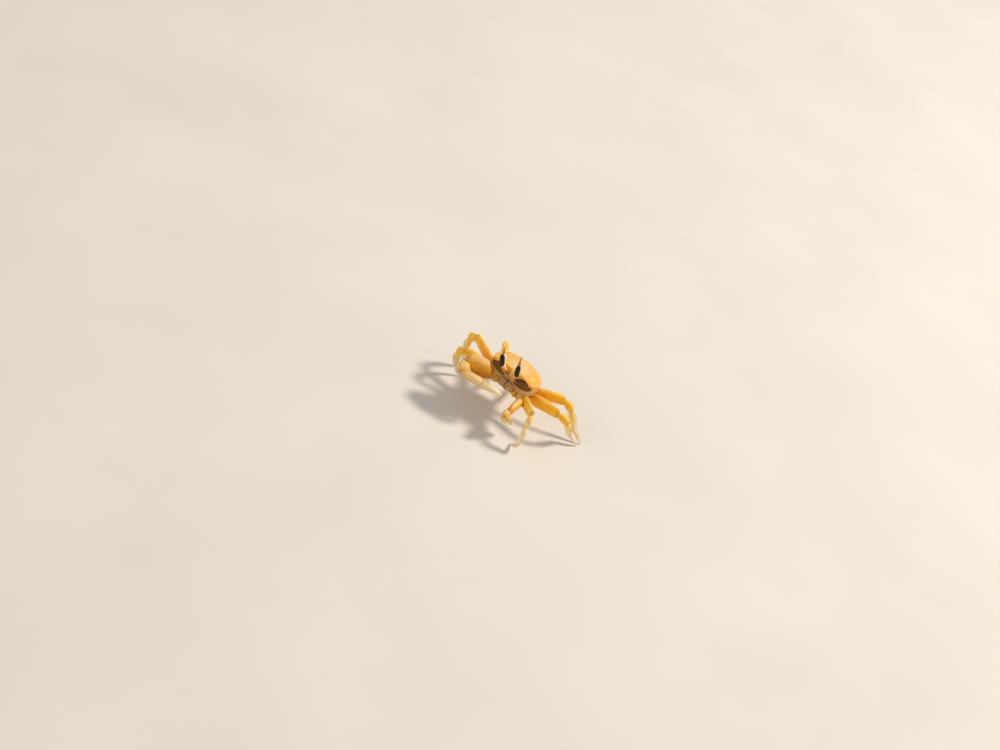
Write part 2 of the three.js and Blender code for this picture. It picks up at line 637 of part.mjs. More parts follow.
// Rise of the dactyl that brings its tip down to the floor from the end of the propodus.
function floorRise(joint, length, pose) {
  const level = limbFrame(joint, pose.heading, 0, pose.lean, pose.turn);
  const e = level.elements;
  const forwardDrop = e[2];
  const upDrop = e[10];
  const swing = Math.hypot(forwardDrop, upDrop);
  const phase = Math.atan2(upDrop, forwardDrop);
  return phase - pose.reach * Math.acos(-joint.z / (length * swing)) - (pose.reach < 0 ? 2 * Math.PI : 0);
}

function addLeg(key, pose) {
  const [word, number] = key.split('_');
  const sizes = LEG_SIZES[number];
  const side = word === 'left' ? 1 : -1;
  let joint = onBody(side * sizes.root[0], sizes.root[1], sizes.root[2]);
  const kinds = ['merus', 'carpus', 'propodus', 'dactyl'];
  kinds.forEach((kind, i) => {
    const length = sizes.length[i];
    const turn = i > 1 ? pose.turn : 0;
    const rise = i < 3 ? radians(pose.rise[i]) : floorRise(joint, length, pose);
    const roll = new THREE.Matrix4().makeRotationX(i < 2 ? radians(pose.roll ?? 0) : 0);
    const frame = limbFrame(joint, pose.heading, rise, pose.lean, turn).multiply(roll);
    const reach = i < 3 ? length : length + FOOT_SINK;
    addPiece({
      name: `leg_${key}_${kind}`, colour: COLOURS.leg, frame, onFloor: i === 3,
      shapes: (grow) => [limbShape(kind, reach, sizes.depth[i], sizes.thick[i], grow),
        ...limbThorns(kind, LEG_THORNS[kind] ?? [], reach, sizes.depth[i], sizes.thick[i], 1, grow)],
      fitted: i < 3 ? [`leg_${key}_${kinds[i + 1]}`] : [],
    });
    joint = farEnd(frame, length);
  });
  if (number === '1') {
    pieces.get(`leg_${key}_merus`).fitted
      .push('carapace', `claw_${word}_ischium`, `claw_${word}_merus`);
  }
}
for (const [key, pose] of Object.entries(LEG_POSES)) addLeg(key, pose);

// ---------------------------------------------------------------- claws
// Palm with its fixed finger below: +X to the finger tips, +Z toward the moving finger.
function palmRows({ palm, finger }) {
  const d = palm.depth / 2;
  const t = palm.thick / 2;
  const f = finger.depth;
  const [p, q] = [palm.length, finger.length];
  return [[-1.2, 0.2 * d, -0.2 * d, 0.3 * t], [-0.2, 0.46 * d, -0.46 * d, 0.66 * t],
    [p * 0.14, 0.66 * d, -0.66 * d, 0.8 * t], [p * 0.4, 0.94 * d, -0.9 * d, t],
    [p * 0.75, d, -d, t], [p * 0.96, 0.92 * d, -0.98 * d, 0.9 * t],
    [p, 0.1 * d, -0.96 * d, 0.86 * t], [p + q * 0.12, -0.2 * d, -0.93 * d, 0.76 * t],
    [p + q * 0.4, -0.82 * d + f * 0.72, -0.82 * d, 0.6 * t],
    [p + q * 0.75, -0.5 * d + f * 0.45, -0.5 * d, 0.4 * t],
    [p + q, -0.12 * d + f * 0.06, -0.12 * d - f * 0.08, 0.12 * t]].map(([x, top, bottom, half]) => {
    const lift = (top + bottom) / 2;
    return [x, top - lift, lift - bottom, half, lift];
  });
}

// Moving finger, arched over the fixed one so that the tips meet.
function fingerRows({ palm, finger }) {
  const d = palm.depth / 2;
  const f = finger.depth / 2;
  return [[-1.3, 0.3, 0.3, 0.34, 0.42], [-0.5, 0.7, 0.7, 0.62, 0.42], [1.2, 1, 1, 0.76, 0.46],
    [finger.length * 0.35, 0.92, 0.86, 0.66, 0.62], [finger.length * 0.7, 0.66, 0.6, 0.48, 0.52],
    [finger.length * 0.9, 0.4, 0.36, 0.3, 0.24], [finger.length * 1.02, 0.16, 0.16, 0.16, 0.08]]
    .map(([x, up, down, half, lift]) => [x, up * f, down * f, (half * palm.thick) / 2, lift * d]);
}

// Loft through rows of [x, up, down, half thickness, lift], with thorns on it.
function clawShapes(rows, length, thorns, scale, sides, grow) {
  const body = loft(rows.map(([x, up, down, half, lift], i) => {
    const end = i === 0 ? -grow : (i === rows.length - 1 ? grow : 0);
    return limbRing(x + end, up, down, half, lift, grow, sides);
  }));
  return [body, ...thornRows(thorns, (share) => rowAt(rows, share * length), scale, grow)];
}

function addClaw(word, sizes) {
  const side = word === 'left' ? 1 : -1;
  let joint = onBody(side * CLAW_ROOT[0], CLAW_ROOT[1], CLAW_ROOT[2]);
  const kinds = ['ischium', 'merus', 'carpus', 'palm'];
  kinds.forEach((kind, i) => {
    const { length, depth, thick, heading, rise, roll } = sizes[kind];
    const frame = limbFrame(joint, heading, radians(rise), 0)
      .multiply(new THREE.Matrix4().makeRotationX(radians(roll)));
    const profile = kind === 'merus' ? 'propodus' : 'carpus';
    const thorns = CLAW_THORNS[kind] ?? [];
    const whole = sizes.palm.length + sizes.finger.length;
    addPiece({
      name: `claw_${word}_${kind}`, colour: COLOURS.claw, frame,
      shapes: kind === 'palm'
        ? (grow) => clawShapes(palmRows(sizes), whole, thorns, sizes.thornScale, 10, grow)
        : (grow) => [limbShape(profile, length, depth, thick, grow),
          ...limbThorns(profile, thorns, length, depth, thick, sizes.thornScale, grow)],
      fitted: [kind === 'palm' ? `claw_${word}_finger` : `claw_${word}_${kinds[i + 1]}`],
    });
    joint = farEnd(frame, length);
    if (kind === 'palm') {
      addPiece({
        name: `claw_${word}_finger`, colour: COLOURS.claw,
        frame: frame.clone().setPosition(joint),
        shapes: (grow) => clawShapes(fingerRows(sizes), sizes.finger.length, CLAW_THORNS.finger,
          sizes.thornScale, 8, grow),
      });
    }
  });
}
for (const [word, sizes] of Object.entries(CLAWS)) addClaw(word, sizes);

// ---------------------------------------------------------------- assembly
const crab = new THREE.Group();
crab.position.set(CENTRING[0], CENTRING[1], 0);
const groups = new Map();
function groupOf(name) {
  const key = /^(leg_[a-z]+_\d|claw_[a-z]+)/.exec(name)?.[0] ?? 'body';
  if (!groups.has(key)) {
    const group = new THREE.Group();
    group.name = `${key}_group`;
    groups.set(key, group);
    crab.add(group);
  }
  return groups.get(key);
}

for (const piece of pieces.values()) {
  const material = new THREE.MeshStandardMaterial({
    color: piece.colour, roughness: piece.colour === COLOURS.cornea ? 0.12 : 0.42, metalness: 0,
  });
  const mesh = new THREE.Mesh(toGeometry(finishedSolid(piece)), material);
  mesh.name = piece.name;
  piece.frame.decompose(mesh.position, mesh.quaternion, mesh.scale);
  groupOf(piece.name).add(mesh);
}

export default crab;
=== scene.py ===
"""Looks of a horned ghost crab, life size: shell, limbs, claws, eyes, mouthparts and bristles round the
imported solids. Lengths in the tables are millimetres. The crab faces -Y, so its left side is at +X, and the
floor is at z = 0."""

import math

import bmesh
import bpy
import numpy as np
from bpy.props import FloatProperty, FloatVectorProperty, PointerProperty
from mathutils import Matrix, Vector


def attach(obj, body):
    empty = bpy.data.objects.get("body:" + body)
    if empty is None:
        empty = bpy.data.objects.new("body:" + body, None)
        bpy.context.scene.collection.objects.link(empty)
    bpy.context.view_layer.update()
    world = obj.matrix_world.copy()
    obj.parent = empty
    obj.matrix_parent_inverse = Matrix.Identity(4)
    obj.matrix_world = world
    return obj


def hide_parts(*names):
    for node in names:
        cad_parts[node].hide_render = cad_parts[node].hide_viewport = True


bl_info = {
    "name": "Ghost crab",
    "version": (1, 0, 0),
    "blender": (4, 5, 0),
    "location": "View3D > Sidebar > Ghost crab",
    "description": "Builds the shell, limbs, eyes and bristles of a ghost crab round its solids",
    "category": "Object",
}

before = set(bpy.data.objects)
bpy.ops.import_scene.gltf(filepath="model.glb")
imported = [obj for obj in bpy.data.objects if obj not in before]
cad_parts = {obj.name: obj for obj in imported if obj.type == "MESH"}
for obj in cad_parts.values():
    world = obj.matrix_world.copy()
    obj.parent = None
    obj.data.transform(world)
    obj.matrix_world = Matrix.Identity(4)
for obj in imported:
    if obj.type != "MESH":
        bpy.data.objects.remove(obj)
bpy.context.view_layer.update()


MM = 0.001

# ---------------------------------------------------------------- sizes of the skeleton of places
CENTRING = Vector((-5.9, -7.5, 0))
STANCE = {"pitch": 20, "roll": 8, "height": 43.2}
SHELL = {
    "half_length": 17, "half_width": 21.2, "front_half_width": 19.8, "rear_half_width": 11.5,
    "crown": 5.6, "front_crown": 1.4, "rear_crown": -0.6, "front_depth": 12.9, "rear_depth": 6.5,
    "front_lean": 0.24,
}
ORBIT = {"centre": (11.2, -18.4, -4.9), "radii": (8.7, 6, 4.3), "swing": -12, "tilt": -4}
EYE = {"x": 6.2, "y": -20.4, "z": -2.9, "stalk": 13.8, "length": 11.4, "width": 4.4, "horn": 8.8}
EYE_SWING = {
    -1: {"shift": -1.8, "lean": -26, "forward": 20, "bend": 2.2},
    1: {"shift": -1.8, "lean": -14, "forward": 20, "bend": 0.2},
}
FOOT_SINK = 0.55                    # how much of each pointed foot the floor cuts away

LEG_SIZES = {
    1: {"root": (13, -5, -16), "length": (30, 10.5, 16.5, 14.5), "depth": (8.8, 6.6, 5.2, 3.4),
        "thick": (4.6, 4.2, 3.4, 2.3)},
    2: {"root": (14, 1, -16), "length": (33, 10.5, 18, 15), "depth": (10, 7.2, 5.8, 3.8),
        "thick": (5.2, 4.6, 3.8, 2.5)},
    3: {"root": (13, 7, -15), "length": (31.5, 9.5, 17, 14.5), "depth": (9.4, 6.8, 5.6, 3.6),
        "thick": (5, 4.4, 3.6, 2.4)},
    4: {"root": (10, 12, -13), "length": (23, 8, 12, 11), "depth": (6.2, 4.8, 4, 2.8),
        "thick": (4, 3.6, 3, 2)},
}
# Heading and lean of each leg's plane, rise of its first three pieces, turn of the last two, way of the last.
LEG_POSES = {
    (1, 1): (-48, 10, (13, -76, -70), -2, -1), (1, 2): (-1, -31, (9, -28, -83), -5, 1),
    (1, 3): (16, 8, (10, -33, -63), -3, 1), (1, 4): (101, 0, (-11, -38, -72), -8, 1),
    (-1, 1): (178, 19, (8.5, -53, -88), 4, -1), (-1, 2): (157, 5, (18, -47, -84), 3, -1),
    (-1, 3): (113, 17, (5, -52, -63), 2, 1), (-1, 4): (96, 0, (-14, -38, -74), 6, 1),
}
# How far the first two pieces of some legs are turned about their own length, in degrees.
LEG_ROLL = {(1, 2): -40, (1, 3): -12, (-1, 1): 35}
LEG_KINDS = ("merus", "carpus", "propodus", "dactyl")
CLAW_ROOT = (11, -11, -15)
# Length, depth, thickness, heading, rise and roll of each claw piece, and the fingers' length and depth.
CLAWS = {
    -1: {"ischium": (5.5, 9.4, 7.4, 224, 26, 0), "merus": (20.3, 18.4, 11.2, 196.5, 8, 0),
         "carpus": (9.3, 11, 10.5, -76, -39, 0), "palm": (19, 14.5, 7.6, 2.4, -0.5, 46),
         "finger": (17.5, 5.4), "fineness": 1.0},
    1: {"ischium": (7.6, 6.4, 5.6, -28, -8, 0), "merus": (17, 9, 6.4, -91, -2, 0),
        "carpus": (5, 7, 6.6, -117, -46, 0), "palm": (10, 9.4, 5, 78, -53, 60),
        "finger": (8.7, 3.4), "fineness": 0.6},
}
# How much further along the legs' colours a leg starts, which pales it.
PALLOR = {(1, 1): 0.34}
WORDS = {1: "left", -1: "right"}

# Rows of a limb piece: share of its length, then shares of half depth above and below and of half thickness.
PROFILES = {
    "merus": [(-0.045, 0.2, 0.2, 0.3), (0, 0.44, 0.44, 0.66), (0.11, 0.5, 0.52, 0.74),
              (0.145, 0.43, 0.45, 0.66), (0.2, 0.66, 0.68, 0.84), (0.42, 1, 0.94, 1),
              (0.72, 0.96, 0.86, 0.96), (0.94, 0.84, 0.74, 0.86)],
    "carpus": [(-0.14, 0.24, 0.24, 0.3), (-0.03, 0.5, 0.5, 0.6), (0.16, 0.66, 0.62, 0.74),
               (0.4, 0.92, 0.84, 0.94), (0.75, 1, 0.96, 1), (0.95, 0.88, 0.86, 0.88)],
    "propodus": [(-0.09, 0.26, 0.26, 0.34), (-0.02, 0.54, 0.54, 0.64), (0.1, 0.72, 0.7, 0.82),
                 (0.3, 1, 0.92, 1), (0.65, 0.92, 0.84, 0.94), (0.94, 0.76, 0.72, 0.8)],
    "dactyl": [(-0.09, 0.3, 0.3, 0.4), (-0.02, 0.64, 0.64, 0.78), (0.1, 0.94, 0.9, 1),
               (0.35, 0.86, 0.8, 0.9), (0.65, 0.6, 0.58, 0.66), (0.88, 0.38, 0.36, 0.44),
               (0.99, 0.2, 0.2, 0.24), (1.02, 0.06, 0.06, 0.08)],
}
# Rim of a piece's far end and the cup behind it that holds the joint's membrane, as shares of the last row.
CUP = [(1.0, 0.93), (1.014, 0.84), (1.0, 0.72), (0.975, 0.52), (0.966, 0.05)]
# How far the middle of a piece is bowed upward, as a share of its length.
BOW = {"merus": 0.02, "carpus": 0.05, "propodus": 0.02, "dactyl": 0.05}
SQUARENESS = 0.85                   # power of a limb's oblong section

MOUTH = {"top": -8, "bottom": -17.4, "y": -13.6, "lean": 0.3}


# ---------------------------------------------------------------- small helpers
def linear(hex_colour):
    """Linear colour of an sRGB hex value."""
    parts = [int(hex_colour[i:i + 2], 16) / 255 for i in (1, 3, 5)]
    return [c / 12.92 if c <= 0.04045 else ((c + 0.055) / 1.055) ** 2.4 for c in parts]


def rgba(hex_colour):
    return (*linear(hex_colour), 1)


def turn(axis, degrees):
    return Matrix.Rotation(math.radians(degrees), 4, axis)


def carried(place, points):
    """Points carried by a 4 x 4 place."""
    matrix = np.array(place)
    return points @ matrix[:3, :3].T + matrix[:3, 3]


def ahead(place):
    """Unit vector of a place's +X, which runs out along a limb."""
    return np.array(place.to_3x3() @ Vector((1, 0, 0)))


def bell(value, middle, width):
    """1 at the middle, falling off to 0.37 at a width from it."""
    return np.exp(-(((value - middle) / width) ** 2))


def ramp(value, low, high):
    """Eased 0 to 1 as value goes from low to high."""
    share = np.clip((value - low) / (high - low), 0, 1)
    return share * share * (3 - 2 * share)


def bent(angle, middle, width):
    """Bell round an angle in radians, counted the short way round."""
    away = np.angle(np.exp(1j * (angle - math.radians(middle))))
    return np.exp(-((away / math.radians(width)) ** 2))


def through(rows, t):
    """Smooth values at t through rows of (t, value, ...), with no overshoot."""
    rows = np.asarray(rows, float)
    knots, values = rows[:, 0], rows[:, 1:]
    slope = np.diff(values, axis=0) / np.diff(knots)[:, None]
    product = slope[:-1] * slope[1:]
    total = np.where(product > 0, slope[:-1] + slope[1:], 1)
    inner = np.where(product > 0, 2 * product / total, 0)
    tangent = np.vstack([slope[:1], inner, slope[-1:]])
    t = np.clip(t, knots[0], knots[-1])
    i = np.clip(np.searchsorted(knots, t) - 1, 0, len(knots) - 2)
    width = np.diff(knots)[i][:, None]
    u = ((t - knots[i]) / np.diff(knots)[i])[:, None]
    return ((2 * u ** 3 - 3 * u ** 2 + 1) * values[i] + (u ** 3 - 2 * u ** 2 + u) * width * tangent[i]
            + (3 * u ** 2 - 2 * u ** 3) * values[i + 1] + (u ** 3 - u ** 2) * width * tangent[i + 1])


def clear_selection():
    if bpy.context.object and bpy.context.object.mode != "OBJECT":
        bpy.ops.object.mode_set(mode="OBJECT")
    bpy.ops.object.select_all(action="DESELECT")


def choose(piece):
    clear_selection()
    piece.select_set(True)
    bpy.context.view_layer.objects.active = piece


def in_edit_mode(piece, *steps):
    """Runs steps in edit mode on the whole of a piece."""
    choose(piece)
    bpy.ops.object.mode_set(mode="EDIT")
    bpy.ops.mesh.select_all(action="SELECT")
    for step in steps:
        step()
    bpy.ops.object.mode_set(mode="OBJECT")


def face_out(piece):
    in_edit_mode(piece, lambda: bpy.ops.mesh.normals_make_consistent(inside=False))


def points_of(piece):
    """Vertices of a piece in millimetres."""
    values = np.empty(len(piece.data.vertices) * 3)
    piece.data.vertices.foreach_get("co", values)
    return values.reshape(-1, 3) / MM


def move_points(piece, points):
    piece.data.vertices.foreach_set("co", (points * MM).ravel())
    piece.data.update()


def normals_of(piece):
    values = np.empty(len(piece.data.vertices) * 3)
    piece.data.vertex_normals.foreach_get("vector", values)
    return values.reshape(-1, 3)


def paint(piece, name, values):
    """Keeps one number for each vertex, which a material reads by name."""
    data = piece.data
    layer = data.attributes.get(name) or data.attributes.new(name, "FLOAT", "POINT")
    values = np.broadcast_to(np.asarray(values, np.float32), (len(data.vertices),))
    layer.data.foreach_set("value", values.copy())


def painted(piece, name):
    """The numbers that paint() kept."""
    values = np.empty(len(piece.data.vertices), np.float32)
    piece.data.attributes[name].data.foreach_get("value", values)
    return values


def paint_vectors(piece, name, values):
    """Keeps a vector for each vertex, which a material reads by name."""
    layer = piece.data.attributes.new(name, "FLOAT_VECTOR", "POINT")
    layer.data.foreach_set("vector", np.asarray(values, np.float32).ravel())


def mesh_from(name, points, faces):
    """Piece of points in millimetres and their faces."""
    data = bpy.data.meshes.new(name)
    data.from_pydata((np.asarray(points) * MM).tolist(), [], faces)
    data.update()
    piece = bpy.data.objects.new(name, data)
    bpy.context.scene.collection.objects.link(piece)
    return piece


def joined(pieces, name):
    """One piece of several."""
    clear_selection()
    for piece in pieces:
        piece.select_set(True)
    bpy.context.view_layer.objects.active = pieces[0]
    bpy.ops.object.join()
    pieces[0].name = pieces[0].data.name = name
    return pieces[0]


def with_modifier(piece, kind, **settings):
    choose(piece)
    modifier = piece.modifiers.new(kind.title(), kind)
    for key, value in settings.items():
        setattr(modifier, key, value)
    bpy.ops.object.modifier_apply(modifier=modifier.name)


def remeshed(piece, voxel, rounds):
    """Even fine mesh over a piece, with its facets smoothed away."""
    with_modifier(piece, "REMESH", mode="VOXEL", voxel_size=voxel * MM)
    with_modifier(piece, "SMOOTH", factor=0.5, iterations=rounds)


def copy_of(node, name):
    """Merged copy of a CAD node's mesh as a piece of its own."""
    piece = bpy.data.objects.new(name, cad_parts[node].data.copy())
    piece.data.name = name
    piece.data.materials.clear()
    bpy.context.scene.collection.objects.link(piece)
    in_edit_mode(piece, lambda: bpy.ops.mesh.remove_doubles(threshold=0.01 * MM))
    return piece


def finish_piece(piece, material, nodes=(), angle=50):
    """Gives a finished piece its shading, material and body, and hides the CAD nodes it replaces."""
    choose(piece)
    bpy.ops.object.shade_smooth_by_angle(angle=math.radians(angle))
    piece.data.materials.clear()
    piece.data.materials.append(material)
    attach(piece, "root")
    if nodes:
        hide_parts(*nodes)
    return piece


# ---------------------------------------------------------------- bars: the start of every long form
def bar(name, sides, rings):
    """Closed bar along +Z from 0 to 1 with its sides cut into rings, ready to be shaped."""
    clear_selection()
    bpy.ops.mesh.primitive_cylinder_add(vertices=sides, radius=1, depth=1, end_fill_type="TRIFAN",
                                        location=(0, 0, 0.5))
    piece = bpy.context.object
    piece.name = piece.data.name = name
    bpy.ops.object.transform_apply()
    bpy.ops.object.mode_set(mode="EDIT")
    bpy.ops.mesh.select_mode(type="EDGE")
    bpy.ops.mesh.select_all(action="DESELECT")
    mesh = bmesh.from_edit_mesh(piece.data)
    for edge in mesh.edges:
        edge.select_set(abs(edge.verts[0].co.z - edge.verts[1].co.z) > 0.5)
    bmesh.update_edit_mesh(piece.data)
    bpy.ops.mesh.subdivide(number_cuts=rings - 2)
    bpy.ops.object.mode_set(mode="OBJECT")
    return piece


def shaped_bar(name, sides, rings, place, surface):
    """Bar whose points are set by surface(share of length, angle, 0 at the axis to 1 at the side)."""
    piece = bar(name, sides, rings)
    raw = points_of(piece) * MM
    share = raw[:, 2]
    angle = np.arctan2(raw[:, 1], raw[:, 0])
    edge = np.minimum(np.hypot(raw[:, 0], raw[:, 1]), 1)
    paint(piece, "share", share)
    move_points(piece, carried(place, surface(share, angle, edge)))
    face_out(piece)
    return piece


def paced(rows, spread):
    """Rows with a first column that runs evenly along their outline. `spread` turns a row into mm."""
    rows = np.asarray(rows, float)
    steps = np.linalg.norm(np.diff(rows * spread, axis=0), axis=1)
    pace = np.concatenate([[0], np.cumsum(steps)])
    return np.column_stack([pace / pace[-1], rows])


def oblong(angle, half, up, down, edge, relief=0.0):
    """Across and upward offsets of an oblong section, pushed out by relief."""
    c, s = np.cos(angle), np.sin(angle)
    reach = np.where(s > 0, up, down)
    across = np.sign(c) * np.abs(c) ** SQUARENESS * half
    upward = np.sign(s) * np.abs(s) ** SQUARENESS * reach
    out = np.stack([c / np.maximum(half, 0.05), s / np.maximum(reach, 0.05)])
    out = out / np.maximum(np.linalg.norm(out, axis=0), 1e-9)
    return (across + out[0] * relief) * edge, (upward + out[1] * relief) * edge


def limb_surface(kind, length, depth, thick, relief, cup=True):
    """Surface of a limb piece in its own frame, +X to the next joint and +Z its upper margin."""
    rows = list(PROFILES[kind])
    if cup:
        _, up, down, side = rows[-1]
        rows += [(t, up * share, down * share, side * share) for t, share in CUP]
    table = paced(rows, np.array([length, depth / 2, depth / 2, thick / 2]))

    def surface(share, angle, edge):
        t, up, down, side = through(table, share).T
        half = side * thick / 2
        outer = ramp(share, 0.02, 0.08) * (1 - ramp(share, 0.93, 0.97) * cup)
        raised = relief(t, angle, t * length) * outer
        y, z = oblong(angle, half, up * depth / 2, down * depth / 2, edge, raised)
        lift = BOW[kind] * length * 4 * t * (1 - t)
        return np.stack([t * length, y, z + lift], axis=1)

    surface.table = table
    return surface


def share_at(surface, t):
    """Share of the bar's rings at share t of the piece's length, on its outside."""
    table = surface.table
    ahead = np.argmax(table[:, 1])
    return float(np.interp(t, table[:ahead + 1, 1], table[:ahead + 1, 0]))


def point_and_out(surface, place, t, degrees):
    """Point on a bar's surface and its outward direction."""
    share = share_at(surface, t)
    angle = math.radians(degrees)
    near = surface(np.array([share, share, share, share + 0.004]),
                   np.array([angle, angle - 0.02, angle + 0.02, angle]), np.ones(4))
    near = carried(place, near)
    out = np.cross(near[2] - near[1], near[3] - near[0])
    middle = carried(place, surface(np.array([share]), np.array([angle]), np.zeros(1)))[0]
    out = out / max(np.linalg.norm(out), 1e-9)
    return near[0], out if out @ (near[0] - middle) > 0 else -out


# ---------------------------------------------------------------- copies of small forms
def template(kind):
    """Points and faces of a small form of unit radius that stands up to height 1 and is sunk to -0.5."""
    if kind == "thorn":
        piece = bar("template", 7, 5)
        raw = points_of(piece) * MM
        height = raw[:, 2] * 1.5 - 0.5
        width = np.clip(1 - np.clip(height, 0, 1) ** 0.8, 0.05, 1)
        lean = 0.35 * np.clip(height, 0, 1) ** 2
        shape = np.column_stack([raw[:, 0] * width + lean, raw[:, 1] * width, height])
    else:
        clear_selection()
        bpy.ops.mesh.primitive_uv_sphere_add(segments=7, ring_count=5, radius=1)
        piece = bpy.context.object
        shape = points_of(piece) * MM
        shape[:, 2] = np.where(shape[:, 2] > 0, shape[:, 2], shape[:, 2] * 0.6)
    faces = [list(face.vertices) for face in piece.data.polygons]
    bpy.data.objects.remove(piece)
    return shape, faces


def copies(name, kind, roots, outs, leans, radii, heights, bead=1.0):
    """One mesh of many small forms, each with its root on the surface and its own size."""
    shape, faces = template(kind)
    points, all_faces = [], []
    for root, out, lean, radius, height in zip(roots, outs, leans, radii, heights):
        out = np.asarray(out) / np.linalg.norm(out)
        along = np.asarray(lean) - out * (np.asarray(lean) @ out)
        if np.linalg.norm(along) < 1e-6:
            along = np.cross(out, (0.3, 0.5, 0.8))
        along = along / np.linalg.norm(along)
        across = np.cross(out, along)
        first = len(points) * len(shape)
        sunk = np.where(shape[:, 2] > 0, shape[:, 2] * height, shape[:, 2] * min(0.6, height + radius))
        points.append(root + shape[:, :1] * radius * along + shape[:, 1:2] * radius * across
                      + sunk[:, None] * out)
        all_faces += [[first + corner for corner in face] for face in faces]
    piece = mesh_from(name, np.concatenate(points), all_faces)
    paint(piece, "bead", bead)
    return piece


def thorn_row(surface, place, seed, angle, start, end, count, height, lean=0.35):
    """Roots, directions and sizes of one row of thorns along a bar."""
    draw = np.random.default_rng(seed)
    forward = ahead(place)
    found = []
    for t in start + (end - start) * (np.arange(count) + 0.5) / count:
        jitter = draw.normal(0, 0.12 * (end - start) / count)
        root, out = point_and_out(surface, place, t + jitter, angle)
        tall = height * draw.uniform(0.75, 1.2)
        found.append((root, out + forward * lean, forward, 0.16 + tall * 0.36, tall))
    return found


def bristles(name, roots, outs, leans, lengths, radius, spots):
    """Fine tapered bristles. Each lies in a small patch of the map at its root's own spot."""
    roots, outs, leans = (np.asarray(values, float) for values in (roots, outs, leans))
    lengths, spots = np.asarray(lengths, float), np.asarray(spots, float)
    side_a = np.cross(outs, leans)
    side_a /= np.maximum(np.linalg.norm(side_a, axis=1), 1e-9)[:, None]
    side_b = np.cross(outs, side_a)
    rings = [(-0.12, 1.0), (0.3, 0.9), (0.68, 0.6), (1.0, 0.16)]
    layers = []
    for height, width in rings:
        bowed = max(height, 0) ** 2 * 0.55
        middle = roots + outs * (height * lengths)[:, None] + leans * (bowed * lengths)[:, None]
        for corner in range(3):
            way = 2 * math.pi * corner / 3
            layers.append(middle + radius * width * (side_a * math.cos(way) + side_b * math.sin(way)))
    points = np.stack(layers, axis=1)
    per = points.shape[1]
    faces = [[0, 2, 1], [per - 3, per - 2, per - 1]]
    for ring in range(len(rings) - 1):
        low = ring * 3
        for corner in range(3):
            after = (corner + 1) % 3
            faces.append([low + corner, low + after, low + 3 + after, low + 3 + corner])
    all_faces = [[i * per + corner for corner in face] for i in range(len(roots)) for face in faces]
    piece = mesh_from(name, points.reshape(-1, 3), all_faces)
    layer = piece.data.uv_layers.new(name="OFBake")
    corner_of = np.empty(len(piece.data.loops), int)
    piece.data.loops.foreach_get("vertex_index", corner_of)
    hair, place_in = corner_of // per, corner_of % per
    spot = spots[hair] + 0.003 * np.column_stack([(place_in // 3) / 3, (place_in % 3) / 3])
    layer.data.foreach_set("uv", spot.astype(np.float32).ravel())
    paint(piece, "tip", np.tile(np.repeat([max(0.0, height) for height, _ in rings], 3), len(roots)))
    face_out(piece)
    return piece


# ---------------------------------------------------------------- places
BODY = (Matrix.Translation(CENTRING + Vector((0, 0, STANCE["height"])))
        @ turn("Y", STANCE["roll"]) @ turn("X", -STANCE["pitch"]))
BODY_TURN = np.array(BODY.to_3x3())  # its columns are the body's own X, Y and Z


def in_body(points):
    """Points in the body's own frame."""
    return carried(BODY.inverted(), points)


def limb_place(joint, heading, rise, lean=0.0, swing=0.0, roll=0.0):
    """Place of a limb piece: +X to the next joint, +Z its upper margin. Degrees, but rise is in radians."""
    heading, lean, swing = (math.radians(value) for value in (heading, lean, swing))
    flat = Vector((math.cos(heading), math.sin(heading), 0))
    up = Vector((0, 0, math.cos(lean))) + Vector((-flat.y, flat.x, 0)) * math.sin(lean)
    forward = flat * math.cos(swing) + up.cross(flat).normalized() * math.sin(swing)
    x = forward * math.cos(rise) + up * math.sin(rise)
    z = up * math.cos(rise) - forward * math.sin(rise)
    place = Matrix((x, z.cross(x), z)).transposed().to_4x4()
    place.translation = joint
    return place @ turn("X", roll)


def floor_rise(joint, length, pose):
    """Rise of the last leg piece that brings its tip down to the floor."""
    heading, lean, _, swing, reach = pose
    level = limb_place(joint, heading, 0, lean, swing)
    forward_drop, up_drop = level[2][0], level[2][2]
    phase = math.atan2(up_drop, forward_drop)
    return phase - reach * math.acos(-joint.z / (length * math.hypot(forward_drop, up_drop)))


def leg_pieces(side, number):
    """The four pieces of a leg: kind, place, length, depth, thickness, and start and end along the leg."""
    sizes, pose = LEG_SIZES[number], LEG_POSES[side, number]
    joint = BODY @ Vector((side * sizes["root"][0], *sizes["root"][1:]))
    heading, lean, rises, swing, _ = pose
    total = sum(sizes["length"])
    done = 0.0
    for i, kind in enumerate(LEG_KINDS):
        length = sizes["length"][i]
        rise = math.radians(rises[i]) if i < 3 else floor_rise(joint, length, pose)
        roll = LEG_ROLL.get((side, number), 0) if i < 2 else 0
        place = limb_place(joint, heading, rise, lean, swing if i > 1 else 0, roll)
        reach = length + (FOOT_SINK if i == 3 else 0)
        yield kind, place, reach, sizes["depth"][i], sizes["thick"][i], done / total, (done + length) / total
        joint = place @ Vector((length, 0, 0))
        done += length


def claw_places(side):
    """Place of each piece of a claw."""
    sizes = CLAWS[side]
    joint = BODY @ Vector((side * CLAW_ROOT[0], *CLAW_ROOT[1:]))
    places = {}
    for kind in ("ischium", "merus", "carpus", "palm"):
        length, _, _, heading, rise, roll = sizes[kind]
        places[kind] = limb_place(joint, heading, math.radians(rise), 0, 0, roll)
        joint = places[kind] @ Vector((length, 0, 0))
    places["finger"] = places["palm"].copy()
    places["finger"].translation = joint
    return places


def eye_place(side):
    swing = EYE_SWING[side]
    return (BODY @ Matrix.Translation((side * EYE["x"] + swing["shift"], EYE["y"], EYE["z"]))
            @ turn("X", swing["forward"]) @ turn("Y", swing["lean"]))


